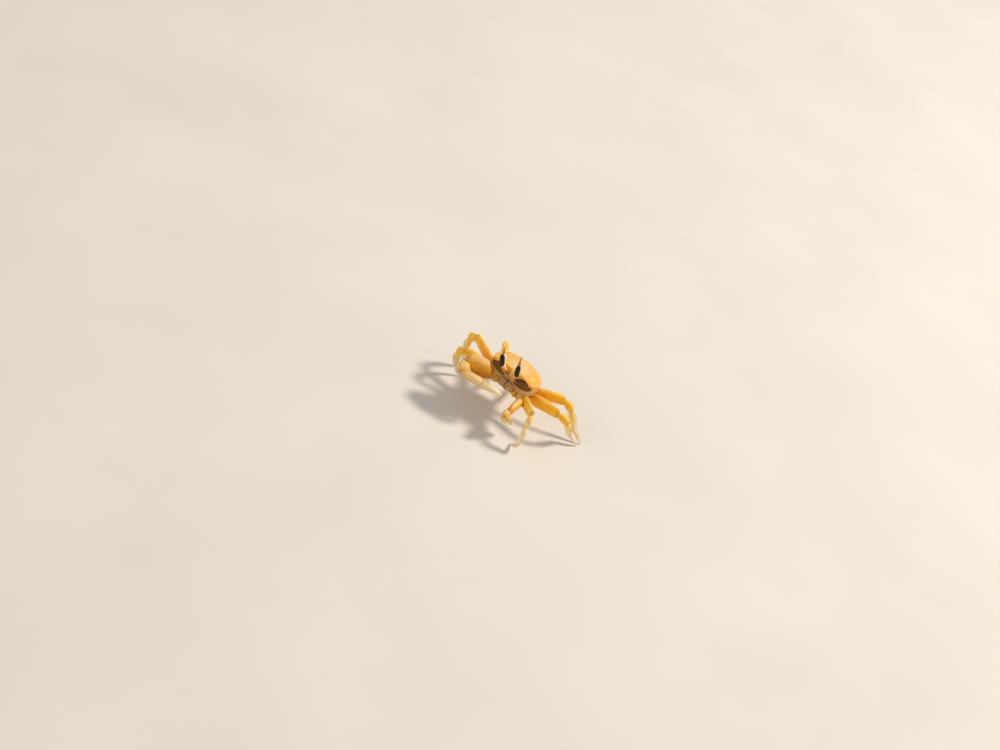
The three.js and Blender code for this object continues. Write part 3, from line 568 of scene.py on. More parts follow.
# ---------------------------------------------------------------- materials
def add_node(tree, kind, out, inputs=(), stops=(), **settings):
    """Adds a shader node with its settings, its inputs (values or sockets) and colour stops, and gives its
    output."""
    node = tree.nodes.new("ShaderNode" + kind)
    for key, value in settings.items():
        setattr(node, key, value)
    for key, value in dict(inputs).items():
        if isinstance(value, bpy.types.NodeSocket):
            tree.links.new(value, node.inputs[key])
        else:
            node.inputs[key].default_value = value
    for index, (position, colour) in enumerate(stops):
        band = node.color_ramp.elements
        stop = band[index] if index < 2 else band.new(position)
        stop.position = position
        stop.color = rgba(colour)
    return node.outputs[out]


def begin_material(name, **constants):
    """Material with a Principled shader whose constant values are set on its own sockets."""
    material = bpy.data.materials.new(name)
    material.use_nodes = True
    tree = material.node_tree
    shader = tree.nodes["Principled BSDF"]
    for key, value in constants.items():
        shader.inputs[key.replace("_", " ")].default_value = value
    return material, tree, shader


def chosen(name):
    """A colour that the user can change, with its alpha."""
    return (*getattr(bpy.context.scene.ghostcrab_colours, name), 1)


def pigment(tree, base, layers):
    """Colour built up in layers. The base names one of the user's colours, or gives stops along a painted
    share. Each layer is the painted share it follows, its strength and its colour."""
    if isinstance(base, str):
        colour = chosen(base)
    else:
        share = add_node(tree, "Attribute", "Fac", attribute_name=base[0])
        colour = add_node(tree, "ValToRGB", 0, {0: share}, base[1])
    for name, strength, tint in layers:
        share = add_node(tree, "Attribute", "Fac", attribute_name=name)
        share = add_node(tree, "Math", 0, {0: share, 1: strength}, operation="MULTIPLY", use_clamp=True)
        colour = add_node(tree, "Mix", 2, {0: share, 6: colour, 7: rgba(tint)}, data_type="RGBA")
    return colour


def cuticle(name, base, layers, roughness, mottle, relief, coat, pattern="grains"):
    """Calcified crab shell: opaque and waxy, with fine relief, a soft gloss and cloudy pigment under it.
    Granules lie about 0.4 mm apart and cross ridges 0.5 mm; the pores between them, 0.02 mm across in life,
    are drawn 0.3 mm across so that they show. Mottling is 1.2 mm across inside clouds of 5 mm."""
    material, tree, shader = begin_material(name, IOR=1.5, Specular_IOR_Level=0.36, Coat_Weight=coat,
                                            Coat_Roughness=0.24, Coat_IOR=1.45)
    place = add_node(tree, "TexCoord", "Object")
    clouds = add_node(tree, "TexNoise", 0, {"Vector": place, "Scale": 1 / (5 * MM), "Detail": 3.0,
                                            "Roughness": 0.6})
    mottles = add_node(tree, "TexNoise", 0, {"Vector": place, "Scale": 1 / (1.2 * MM), "Detail": 2.0,
                                             "Roughness": 0.7})
    colour = pigment(tree, base, layers)
    deeper = add_node(tree, "Mix", 2, {0: 1.0, 6: colour, 7: rgba("#e6a04a")}, data_type="RGBA",
                      blend_type="MULTIPLY")
    paler = add_node(tree, "Mix", 2, {0: 0.4, 6: colour, 7: rgba("#fdeac0")}, data_type="RGBA")
    for source, low, high, tint in ((clouds, 0.5, 0.36, deeper), (clouds, 0.52, 0.68, paler),
                                    (mottles, 0.47, 0.34, deeper), (mottles, 0.56, 0.7, paler)):
        share = add_node(tree, "MapRange", 0, {0: source, 1: low, 2: high, 3: 0.0, 4: mottle},
                         interpolation_type="SMOOTHSTEP")
        colour = add_node(tree, "Mix", 2, {0: share, 6: colour, 7: tint}, data_type="RGBA")
    tree.links.new(colour, shader.inputs["Base Color"])
    gloss = add_node(tree, "MapRange", 0, {0: mottles, 1: 0.3, 2: 0.7, 3: roughness - 0.08,
                                           4: roughness + 0.1})
    tree.links.new(gloss, shader.inputs["Roughness"])
    if pattern == "scales":
        weave = add_node(tree, "Attribute", "Vector", attribute_name="weave")
        forms = add_node(tree, "TexVoronoi", "Distance", {"Vector": weave, "Scale": 1.0, "Randomness": 0.8})
    else:
        forms = add_node(tree, "TexVoronoi", "Distance", {"Vector": place, "Scale": 1 / (0.42 * MM),
                                                          "Randomness": 0.9})
    raised = add_node(tree, "MapRange", 0, {0: forms, 1: 0.55, 2: 0.05, 3: 0.0, 4: 1.0},
                      interpolation_type="SMOOTHSTEP")
    height = add_node(tree, "Math", 0, {0: mottles, 1: 0.5, 2: raised}, operation="MULTIPLY_ADD")
    bump = add_node(tree, "Bump", 0, {"Strength": 0.8, "Distance": relief * MM, "Height": height})
    tree.links.new(bump, shader.inputs["Normal"])
    return material


# Leg: deep orange at the thigh, then yellow, then cream at the foot.
LEG_STOPS = [(0.0, "#e0a820"), (0.98, "#fff9ea"), (0.1, "#fab002"), (0.38, "#ffbe02"), (0.5, "#ffc210"),
             (0.62, "#ffd664"), (0.72, "#ffe7a4"), (0.82, "#fff0cc"), (0.9, "#fff5de")]
# Claw: yellow-orange arm, yellow wrist and hand, cream fingers.
CLAW_STOPS = [(0.0, "#dc9e34"), (1.0, "#fbf0d6"), (0.15, "#e89c08"), (0.4, "#eeaa12"), (0.55, "#f2b934"),
              (0.75, "#ebc47c"), (0.9, "#f5e0b6")]
HORN_STOPS = [(0.0, "#c9720c"), (1.0, "#f0b254"), (0.3, "#db7a0c"), (0.8, "#e48a18")]


def shell_cuticle():
    """Buff back, paler in the middle and yellower behind, with brown painted shade in the eye sockets, tan
    painted shade in the furrows, tan cheeks deepened with painted shade, and pale beads.
    """
    return cuticle("Carapace cuticle, calcified", "shell", [
        # groove: tan painted shade in the furrows and seams
        ("rear", 1.0, "#ecb62c"), ("middle", 1.0, "#e4ca9a"), ("groove", 0.8, "#c08434"),
        # cheek: the side walls' own tan, deepened with painted shade
        ("cheek", 1.0, "#cfa262"), ("rim", 0.8, "#f4ca5c"), ("lip", 1.0, "#f69a06"),
        # socket: dark brown painted shade inside the eye sockets
        ("socket", 1.0, "#6e3400"), ("bead", 1.0, "#f8dea6"),
    ], roughness=0.46, mottle=0.26, relief=0.06, coat=0.1)


def leg_cuticle():
    """Waxy orange to cream, darker at the joints, with a painted highlight along the upper margin and
    overlapping cross ridges that catch the light.
    """
    return cuticle("Leg cuticle, calcified", ("reach", LEG_STOPS), [
        # crest: painted highlight along each piece's upper margin
        ("joint", 0.45, "#d3811c"), ("crest", 0.45, "#ffd778"), ("bead", 0.85, "#ffeab8"),
    ], roughness=0.42, mottle=0.2, relief=0.07, coat=0.14, pattern="scales")


def claw_cuticle():
    """Thicker and glossier than the legs' cuticle, with cream tubercles and teeth and a painted highlight
    along the upper margin.
    """
    return cuticle("Claw cuticle, thick calcified", ("reach", CLAW_STOPS), [
        # crest: painted highlight along each piece's upper margin
        ("joint", 0.45, "#cf8a30"), ("crest", 0.45, "#fde0a0"), ("bead", 0.9, "#fff4d8"),
    ], roughness=0.4, mottle=0.2, relief=0.07, coat=0.16, pattern="scales")


def under_cuticle():
    """Cream breastplate with tan painted shade in its sutures and in the tail's ring steps, thin and little
    pitted.
    """
    return cuticle("Breastplate cuticle, calcified", "breastplate", [("groove", 0.8, "#a06e38")],
                   roughness=0.46, mottle=0.2, relief=0.03, coat=0.15)


def mouth_cuticle():
    """Tan plates with pale edges and dark brown painted shade in their grooves and on the frame behind them,
    thin enough to look a little warm.
    """
    return cuticle("Mouthpart cuticle, thin", "mouthparts",
                   # groove: dark brown painted shade
                   [("groove", 0.85, "#5e3412"), ("rim", 0.9, "#ecce98")],
                   roughness=0.46, mottle=0.22, relief=0.03, coat=0.2)


def stalk_cuticle():
    """Smooth cream column with an orange knuckle at its root."""
    return cuticle("Eyestalk cuticle, thin", "eyestalks",
                   [("root", 1.0, "#e8940f"), ("rim", 0.8, "#c08a40")],
                   roughness=0.36, mottle=0.16, relief=0.015, coat=0.3)


def horn_cuticle():
    """Solid smooth cuticle, burnt orange at the root and amber at the tip."""
    return cuticle("Horn cuticle, smooth", ("tip", HORN_STOPS), [], roughness=0.32, mottle=0.12, relief=0.012,
                   coat=0.4)


def cornea_cuticle():
    """Eye surface: hard, clear and wet-looking over dark brown pigment, made of packed lenses. The lenses are
    about 0.03 mm across and are drawn at 0.2 mm, so that they show as a faint texture."""
    material, tree, shader = begin_material("Eye cornea, facetted", IOR=1.36, Roughness=0.34,
                                            Coat_Weight=0.22, Coat_Roughness=0.07, Coat_IOR=1.4)
    place = add_node(tree, "TexCoord", "Object")
    lenses = add_node(tree, "TexVoronoi", "Distance", {"Vector": place, "Scale": 1 / (0.2 * MM),
                                                       "Randomness": 0.25})
    clouds = add_node(tree, "TexNoise", 0, {"Vector": place, "Scale": 1 / (3 * MM), "Detail": 2.0})
    rim = add_node(tree, "Attribute", "Fac", attribute_name="rim")
    colour = add_node(tree, "ValToRGB", 0, {0: clouds}, [(0.35, "#140903"), (0.7, "#2a180a")])
    colour = add_node(tree, "Mix", 2, {0: rim, 6: colour, 7: rgba("#4d3216")}, data_type="RGBA")
    tree.links.new(colour, shader.inputs["Base Color"])
    bump = add_node(tree, "Bump", 0, {"Strength": 0.3, "Distance": 0.02 * MM, "Height": lenses})
    tree.links.new(bump, shader.inputs["Normal"])
    return material


def joint_membrane():
    """Joint skin: thin uncalcified cuticle, dull and orange-brown, in folds about 0.9 mm apart."""
    material, tree, shader = begin_material("Joint membrane, folded", IOR=1.45, Roughness=0.5,
                                            Coat_Weight=0.15)
    place = add_node(tree, "TexCoord", "Object")
    folds = add_node(tree, "TexNoise", 0, {"Vector": place, "Scale": 1 / (0.9 * MM), "Detail": 3.0})
    colour = add_node(tree, "ValToRGB", 0, {0: folds}, [(0.35, "#c98a3c"), (0.65, "#e6b367")])
    tree.links.new(colour, shader.inputs["Base Color"])
    bump = add_node(tree, "Bump", 0, {"Strength": 0.8, "Distance": 0.12 * MM, "Height": folds})
    tree.links.new(bump, shader.inputs["Normal"])
    return material


def chitin_bristle():
    """Stiff chitin hair, golden brown at the root and straw-coloured at the tip, with a dry sheen."""
    material, tree, shader = begin_material("Chitin bristle", IOR=1.54, Roughness=0.45)
    tip = add_node(tree, "Attribute", "Fac", attribute_name="tip")
    stops = [(0.0, "#b98238"), (1.0, "#f2dfae"), (0.5, "#dcae5c")]
    colour = add_node(tree, "ValToRGB", 0, {0: tip}, stops)
    tree.links.new(colour, shader.inputs["Base Color"])
    return material


def studio_paper():
    """Matt pale paper, barely cloudy over 160 mm, with a grain too fine to see."""
    material, tree, shader = begin_material("Studio paper, matt", IOR=1.45, Roughness=0.9)
    place = add_node(tree, "TexCoord", "Object")
    clouds = add_node(tree, "TexNoise", 0, {"Vector": place, "Scale": 1 / (160 * MM), "Detail": 3.0})
    colour = add_node(tree, "ValToRGB", 0, {0: clouds}, [(0.3, "#d8d5cf"), (0.7, "#dedbd5")])
    tree.links.new(colour, shader.inputs["Base Color"])
    return material


_made = {}


def finish_of(recipe):
    """Material of a recipe, made once."""
    if recipe not in _made:
        _made[recipe] = recipe()
    return _made[recipe]


# ---------------------------------------------------------------- carapace
HALF = SHELL["half_length"]
OUTLINE = [(-HALF, SHELL["front_half_width"]), (-HALF * 0.35, SHELL["half_width"]),
           (HALF * 0.4, SHELL["half_width"] * 0.91), (HALF * 0.8, SHELL["half_width"] * 0.76),
           (HALF, SHELL["rear_half_width"])]
CROWN = [(-HALF, SHELL["front_crown"]), (-HALF * 0.1, SHELL["crown"]), (HALF * 0.55, SHELL["crown"] * 0.72),
         (HALF, SHELL["rear_crown"])]
MARGIN = [(-HALF, 0), (0, -0.4), (HALF, -2.8)]
DEPTH = [(-HALF, SHELL["front_depth"]), (0, SHELL["front_depth"] * 0.78), (HALF, SHELL["rear_depth"])]


def line(stops, y):
    """Value at y of a line through stops of (y, value)."""
    return through(stops, y)[:, 0]


def back_height(x, y):
    """Height of the back over the level of the eye sockets."""
    share = np.minimum(1, np.abs(x) / line(OUTLINE, y))
    margin = line(MARGIN, y)
    return margin + (line(CROWN, y) - margin) * (1 - share ** 2.8)


def shell_surface(share, angle, edge):
    """Closed shell in the body's frame. The bar's angle runs over the back, then down the sides and under."""
    ends = [(0, -HALF - 0.6, 9), (0.03, -HALF - 0.55, 2.4), (0.05, -HALF - 0.2, 0.5), (0.065, -HALF, 0),
            (0.9, HALF - 1.4, 0), (0.93, HALF - 0.2, 0.35), (0.95, HALF + 0.5, 1.1), (0.97, HALF + 0.85, 2.6),
            (1, HALF + 0.9, 7)]
    y, inset = through(ends, share).T
    width = line(OUTLINE, y) - inset
    depth = line(DEPTH, y) - inset
    margin = line(MARGIN, y)
    over = angle >= 0
    x_back = width * np.cos(angle)
    z_back = back_height(x_back, y) - inset * 0.6
    down = np.abs(angle) / math.pi
    down = np.where(down > 0.5, 1 - down, down)
    side = [(0, 1), (0.1, 1.01), (0.2, 1.03), (0.3, 0.97), (0.38, 0.82), (0.5, 0)]
    x_side = width * through(side, down)[:, 0] * np.sign(np.cos(angle))
    fall = [(0, 0, 0), (0.1, 0.1, 1), (0.2, 0.45, 1), (0.3, 0.82, 1), (0.38, 1, 1), (0.5, 1, 1)]
    part, _ = through(fall, down).T
    z_side = margin - (margin + depth) * part
    x = np.where(over, x_back, x_side) * edge
    z = np.where(over, z_back, z_side)
    z = z * edge + (-depth * 0.35) * (1 - edge)
    lean = SHELL["front_lean"] * np.maximum(0, -z) * ramp(-y, -2, HALF)
    return np.stack([x, y + lean, z], axis=1)


def orbit_frame(side):
    """Place of an eye socket in the body's frame."""
    x, y, z = ORBIT["centre"]
    return (Matrix.Translation((side * x, y, z)) @ turn("Y", side * ORBIT["swing"])
            @ turn("Z", side * ORBIT["tilt"]))


def in_orbit(points, side):
    """Distance from the eye socket's middle, 1 on its wall, and the same point in the socket's frame."""
    local = carried(orbit_frame(side).inverted(), points)
    return np.linalg.norm(local / np.array(ORBIT["radii"]), axis=1), local


def front_lobe(share, angle, edge):
    """The narrow front, turned down between the eyes."""
    rows = [(0, -HALF + 6, 1.5, 3.4, 0.9), (0.35, -HALF, 1.35, 3.0, 1.0), (0.6, -HALF - 1.9, 0.3, 2.4, 0.9),
            (0.8, -HALF - 2.9, -1.6, 2.0, 0.75), (1, -HALF - 3.2, -3.7, 1.2, 0.55)]
    y, z, half, thick = through(rows, share).T
    groove = 0.35 * bell(np.cos(angle), 0, 0.3) * (np.sin(angle) > 0)
    return np.stack([np.cos(angle) * half * edge,
                     y - np.sin(angle) * thick * 0.6 * ramp(share, 0.4, 0.9) * edge,
                     z + (np.sin(angle) * thick - groove) * edge], axis=1)


def socket_tooth(side):
    """Forward tooth at the outer end of an eye socket, a little hooked inward."""
    def surface(share, angle, edge):
        width = 2.3 * (1 - share) ** 0.9 + 0.12
        x = side * (SHELL["front_half_width"] - 1.5 + 1.9 * share ** 1.4 - 0.5 * share ** 3)
        y = -HALF + 3.2 - 5.6 * share
        return np.stack([x + np.cos(angle) * width * 0.8 * edge, y,
                         -0.9 + 0.5 * share + np.sin(angle) * width * 0.62 * edge], axis=1)
    return surface


def relief_of_back(x, y):
    """Swellings and furrows of the back, in millimetres out of it, and how deep in a furrow each point is."""
    off = np.abs(x)
    furrow = 0.34 * bell(off, 6.3 + 0.05 * y, 0.9) * ramp(np.abs(y - 0.5), 10.5, 6)
    furrow += 0.28 * bell(y, 3.6 + 0.03 * off ** 2, 0.9) * ramp(off, 6.8, 5.2)
    outer = -3.4 - 0.72 * (off - 6.4)
    furrow += 0.24 * bell(y, outer, 1.0) * ramp(off, 6, 7) * ramp(off, 13.5, 10)
    furrow += 0.16 * bell(off, 0, 0.45) * ramp(y, -3, -8) * ramp(y, -16.5, -13)
    furrow += 0.22 * bell(off, 3.4 + 0.12 * (y - 9), 0.7) * bell(y, 9.5, 3.2)
    swell = 0.42 * bell(off, 0, 4.6) * bell(y, -3.6, 4.2) + 0.3 * bell(off, 0, 2.8) * bell(y, 8.2, 3)
    swell += 0.55 * bell(off, 12.6, 4.8) * bell(y, 2.4, 8.4) + 0.26 * bell(off, 12.4, 3) * bell(y, -11.2, 2.6)
    swell += 0.2 * bell(off, 4.6, 2) * bell(y, -11, 2.2)
    wave = 0.05 * np.sin(1.3 * x + 2.1 * np.sin(0.7 * y)) * np.sin(1.1 * y + 1.7 * np.sin(0.9 * x))
    return swell - furrow + wave, np.clip(furrow / 0.4, 0, 1)


def carapace_base():
    """Shell with its front lobe, teeth and carved eye sockets, evenly meshed."""
    shell = shaped_bar("carapace_shell", 200, 150, BODY, shell_surface)
    for side in (1, -1):
        clear_selection()
        bpy.ops.mesh.primitive_uv_sphere_add(segments=64, ring_count=32, radius=1)
        cutter = bpy.context.object
        hollow = points_of(cutter) * MM * np.array(ORBIT["radii"])
        move_points(cutter, carried(BODY @ orbit_frame(side), hollow))
        with_modifier(shell, "BOOLEAN", operation="DIFFERENCE", object=cutter, solver="MANIFOLD")
        bpy.data.objects.remove(cutter)
    lobe = shaped_bar("front_lobe", 40, 40, BODY, front_lobe)
    teeth = [shaped_bar("tooth", 24, 24, BODY, socket_tooth(side)) for side in (1, -1)]
    shell = joined([shell, lobe, *teeth], "carapace_shell")
    remeshed(shell, 0.24, 5)
    return shell


def sculpt_carapace(shell):
    """Raises and sinks the back, rims the margins and sockets, and marks each region for the pigment and for
    the painted shade of the sockets, furrows and cheeks.
    """
    points = points_of(shell)
    normals = normals_of(shell)
    local = in_body(points)
    x, y, z = local.T
    out = normals @ BODY_TURN
    upward = ramp(out[:, 2], 0.25, 0.7)
    forward = ramp(-out[:, 1], -0.1, 0.35)
    relief, furrow = relief_of_back(x, y)
    push = relief * upward
    side_edge = line(OUTLINE, y)
    margin = bell(z, line(MARGIN, y) - 0.2, 0.5) * ramp(np.abs(x), side_edge - 1.2, side_edge - 0.4)
    margin = margin * ramp(y, 12, 8)
    push += 0.22 * margin
    lips = margin * ramp(y, 1, -8)
    socket = np.zeros(len(points))
    drop = np.zeros(len(points))
    for side in (1, -1):
        depth, inside = in_orbit(local, side)
        lip = bell(depth, 1.05, 0.05) * np.maximum(forward, 1 - upward) * (depth > 1.005)
        push += 0.34 * lip
        edging = bell(depth, 1.11, 0.12) * ramp(inside[:, 2], 0.2, 1.4) * ramp(y, -11, -14)
        lips = np.maximum(lips, np.maximum(edging, 0.6 * lip))
        wall = ramp(depth, 1.03, 0.995)
        # The socket share is painted shade on the socket walls, strongest toward the upper wall under the
        # brow.
        socket = np.maximum(socket, wall * (0.72 + 0.28 * ramp(inside[:, 2], -2, 2)))
        brow = ramp(depth, 1.35, 1.1) * ramp(inside[:, 2], 0.6, 2.2)
        outward = side * inside[:, 0]
        drop += brow * (0.9 * bell(outward, 6.2, 2.4) - 0.75 * bell(outward, -0.6, 3.2)
                        + 0.5 * bell(outward, -5.4, 1.6))
        push -= 0.2 * bell(inside[:, 2], -1.0 + 0.06 * inside[:, 0], 0.28) * wall
        push += 0.12 * bell(inside[:, 2], 0.6, 0.5) * wall
    flank = ramp(-z, 0.8, 2.6) * (1 - upward) * (1 - socket)
    seam = bell(z, -4.2 - 0.1 * (y + HALF), 0.3) * ramp(np.abs(x), 14, 16) * flank
    second = bell(z, -8.3 + 0.12 * y, 0.3) * flank
    push -= 0.22 * seam + 0.14 * second
    push += 0.05 * flank * np.sin(2.6 * y + 1.4 * np.sin(1.7 * z)) * np.sin(2.9 * z + 1.1 * np.sin(1.3 * x))
    lowered = drop[:, None] * (BODY_TURN @ (0, -0.3, -1))
    move_points(shell, points + normals * push[:, None] + lowered)
    # The groove share is painted shade in the sunk furrows, seams and flank lines.
    paint(shell, "groove", np.clip(furrow * upward * 0.45 + seam * 0.6 + second * 0.5, 0, 1))
    paint(shell, "middle", bell(np.abs(x), 0, 9) * bell(y, -8, 9) * np.maximum(upward, 0.5 * forward))
    paint(shell, "rear", ramp(y, 2, 15) * upward)
    # The cheek share covers the side walls that face away from the top: their own tan, deepened with painted
    # shade.
    paint(shell, "cheek", flank * 0.85)
    paint(shell, "socket", socket)
    paint(shell, "rim", 0.56 * margin)
    paint(shell, "lip", np.clip(lips, 0, 1))
    return local


def rim_places(shell_points, shell_normals, local, side, seed):
    """Beads along the side margin, over the eye and under it: roots, directions and sizes."""
    draw = np.random.default_rng(seed)
    lean = BODY_TURN @ (side * 0.2, -1, 0.1)
    found = []

    def add(misfit, radius, tall):
        """Sets a bead on the point that fits best."""
        best = np.argmin(misfit)
        size = draw.uniform(0.85, 1.15)
        found.append((shell_points[best], shell_normals[best], lean, radius * size, tall * size))

    x, y, z = local.T
    wide = line(OUTLINE, y)
    for step in np.arange(-HALF + 3.0, HALF * 0.62, 0.62):
        off = np.abs(y - step) * 3 + np.abs(side * x - wide - 0.1) + np.abs(z - line(MARGIN, y) + 0.15)
        add(off, 0.26 - 0.003 * (step + HALF), 0.26)
    depth, inside = in_orbit(local, side)
    outward = inside[:, 0] * side
    off_lip = np.abs(depth - 1.06) * 9
    barred = 50                     # keeps the beads off points that fail a test
    off_lip = off_lip + barred * (shell_normals @ BODY_TURN[:, 1] > -0.35) + barred * (inside[:, 1] > 4)
    for step in np.arange(-7.8, 8.3, 0.5):
        add(np.abs(outward - step) * 2 + off_lip + (inside[:, 2] < 0.5) * barred, 0.19, 0.19)
    for step in np.arange(-6.6, 8.2, 0.64):
        add(np.abs(outward - step) * 2 + off_lip + (inside[:, 2] > -0.5) * barred, 0.26, 0.4)
    return found


def scattered(piece, seed, count, apart, wanted):
    """Faces picked at random by their area times wanted(middle, direction), no two closer than `apart`."""
    data = piece.data
    middles, outs, areas = (np.empty(len(data.polygons) * n) for n in (3, 3, 1))
    data.polygons.foreach_get("center", middles)
    data.polygons.foreach_get("normal", outs)
    data.polygons.foreach_get("area", areas)
    middles, outs = middles.reshape(-1, 3) / MM, outs.reshape(-1, 3)
    weight = areas * wanted(middles, outs)
    draw = np.random.default_rng(seed)
    picks = draw.choice(len(weight), size=min(count * 3, len(weight) // 2), replace=False,
                        p=weight / weight.sum())
    near = [(i, j, k) for i in (-1, 0, 1) for j in (-1, 0, 1) for k in (-1, 0, 1)]
    cells, kept = {}, []
    for pick in picks:
        point = middles[pick]
        cell = tuple((point // apart).astype(int))
        around = [cells.get((cell[0] + i, cell[1] + j, cell[2] + k), ()) for i, j, k in near]
        if all(np.sum((point - middles[other]) ** 2) > apart ** 2 for group in around for other in group):
            cells.setdefault(cell, []).append(pick)
            kept.append(pick)
        if len(kept) == count:
            break
    return middles[kept], outs[kept], draw


def granules_of_back(shell, size):
    """Granules of the back: dense and coarse on the outer thirds, none on the smooth middle."""
    def wanted(middles, outs):
        local = in_body(middles)
        x, y, z = local.T
        up = outs @ BODY_TURN[:, 2]
        outer = ramp(np.abs(x), 4.5, 14) * ramp(y, 14.5, 4)
        clear = np.minimum(*(ramp(in_orbit(local, side)[0], 1.08, 1.14) for side in (1, -1)))
        flank = 0.35 * ramp(-z, 1.2, 3) * ramp(z, -11, -8) * (y < 13)
        return ((0.06 + outer) * ramp(up, 0.3, 0.6) + flank) * clear

    roots, outs, draw = scattered(shell, 11, 2300, 0.42, wanted)
    grow = 0.1 + 0.13 * ramp(np.abs(in_body(roots)[:, 0]), 5, 19)
    radii = grow * draw.uniform(0.65, 1.15, len(roots)) * size
    leans = [BODY_TURN @ (0, -1, 0)] * len(roots)
    return copies("carapace_granules", "granule", roots, outs, leans, radii, radii * 0.75, 0.55)


class GHOSTCRAB_OT_carapace(bpy.types.Operator):
    """Builds the carapace with its eye sockets, beaded margins and granules"""
    bl_idname = "ghostcrab.carapace"
    bl_label = "Carapace"

    def execute(self, context):
        sizes = context.scene.ghostcrab_sizes
        shell = carapace_base()
        local = sculpt_carapace(shell)
        places = []
        for side in (1, -1):
            places += rim_places(points_of(shell), normals_of(shell), local, side, 20 + side)
        beads = copies("beads", "granule", *zip(*places))
        granules = granules_of_back(shell, sizes.granule_size)
        details = joined([granules, beads], "carapace_granules")
        finish_piece(shell, finish_of(shell_cuticle), ["carapace"])
        finish_piece(details, finish_of(shell_cuticle), angle=80)
        return {"FINISHED"}


# ---------------------------------------------------------------- underside
def breast_surface(share, angle, edge):
    """The trunk under the shell, from the mouth to the tail."""
    rows = [(0, -12.7, 4, -8.6, -14.6), (0.06, -12.4, 6, -7.4, -16.2), (0.14, -11, 8.5, -6, -18),
            (0.33, -5, 10.5, -4, -19.6), (0.52, 2, 11, -4, -19.8), (0.72, 9, 9.4, -4, -18.6),
            (0.88, 14, 6.6, -4, -15.4), (1, 16, 3.6, -5, -12)]
    y, half, top, bottom = through(rows, share).T
    across = np.sign(np.cos(angle)) * np.abs(np.cos(angle)) ** 0.8 * half
    upward = np.sign(np.sin(angle)) * np.abs(np.sin(angle)) ** 0.7 * (top - bottom) / 2
    return np.stack([across * edge, y, (top + bottom) / 2 + upward * edge], axis=1)


def coxa_surface(length, radius):
    """Short swollen root piece of a limb, with a collar and a cup at its outer end."""
    rows = [(0, 0, 0.3), (0.08, 0.06, 0.8), (0.28, 0.28, 0.98), (0.46, 0.5, 0.86), (0.64, 0.72, 0.98),
            (0.76, 0.88, 0.98), (0.82, 0.95, 1.03), (0.87, 1.0, 0.98), (0.9, 1.01, 0.88), (0.93, 0.98, 0.72),
            (0.96, 0.93, 0.6), (1, 0.92, 0.08)]

    def surface(share, angle, edge):
        t, wide = through(rows, share).T
        ridge = 1 + 0.035 * np.cos(3 * angle + 4 * t)
        return np.stack([t * length, np.cos(angle) * radius * wide * ridge * edge,
                         np.sin(angle) * radius * wide * ridge * edge], axis=1)
    return surface


def coxa_pieces():
    """The ten root pieces that join the limbs to the breastplate."""
    roots = [(CLAW_ROOT, 4.2)] + [(LEG_SIZES[n]["root"], 3.9 - n * 0.25) for n in (1, 2, 3, 4)]
    made = []
    for (x, y, z), radius in roots:
        for side in (1, -1):
            start = BODY @ Vector((side * x * 0.42, y * 0.84, z + 1.2))
            end = BODY @ Vector((side * (x + 0.5), y, z))
            way = end - start
            place = Matrix.Translation(start) @ way.to_track_quat("X", "Z").to_matrix().to_4x4()
            made.append(shaped_bar("coxa", 40, 44, place, coxa_surface(way.length, radius)))
    return made


def sculpt_breastplate(plate):
    """Sutures between the breastplate's segments and the long groove in its middle, sunk and darkened with
    painted shade.
    """
    points, normals = points_of(plate), normals_of(plate)
    x, y, _ = in_body(points).T
    under = ramp(-(normals @ BODY_TURN[:, 2]), 0.2, 0.6)
    sutures = np.zeros(len(x))
    for middle in (-8.2, -3.4, 1.6, 6.4, 10.6):
        sutures = np.maximum(sutures, bell(y, middle + 0.02 * x ** 2, 0.34))
    sutures *= ramp(np.abs(x), 3.2, 4.6) * under
    middle = bell(x, 0, 0.4) * under * ramp(y, -5.5, -6.5)
    swell = 0.14 * np.cos((y + 0.9) * 2 * math.pi / 4.9) * ramp(np.abs(x), 3.5, 6) * under
    move_points(plate, points + normals * (swell - 0.32 * sutures - 0.3 * middle)[:, None])
    # The groove share is painted shade in the sunk sutures and the middle groove.
    paint(plate, "groove", np.clip(sutures + middle, 0, 1))


TAIL_RINGS = 7


def tail_surface(share, angle, edge):
    """Tail flap, from under the shell's rear edge round to its tip under the body, stepped at each ring."""
    path = [(0, 15.6, -4.5, 5.6), (0.12, 16.9, -8.0, 6.0), (0.24, 16.6, -12.2, 5.9), (0.34, 14.9, -15.9, 5.4),
            (0.46, 11.8, -18.4, 4.5), (0.62, 7.2, -19.8, 3.9), (0.8, 1.6, -20.3, 2.9),
            (0.92, -2.2, -20.5, 1.9),
            (1, -4.2, -20.5, 0.9)]
    y, z, half = through(path, share).T
    after = through(path, np.minimum(share + 0.01, 1)).T
    before = through(path, np.maximum(share - 0.01, 0)).T
    way = np.stack([after[0] - before[0], after[1] - before[1]])
    way = way / np.linalg.norm(way, axis=0)
    phase = (share * TAIL_RINGS) % 1
    step = 1 - 0.16 * bell(phase, 0, 0.07) - 0.16 * bell(phase, 1, 0.07) + 0.07 * phase
    close = np.clip(np.minimum(share, 1 - share) / 0.012, 0.05, 1)
    across = np.sign(np.cos(angle)) * np.abs(np.cos(angle)) ** 0.75 * half * step * close
    thick = np.sign(np.sin(angle)) * np.abs(np.sin(angle)) ** 0.75 * 0.85 * step * close * edge
    return np.stack([across * edge, y - way[1] * thick, z + way[0] * thick], axis=1)


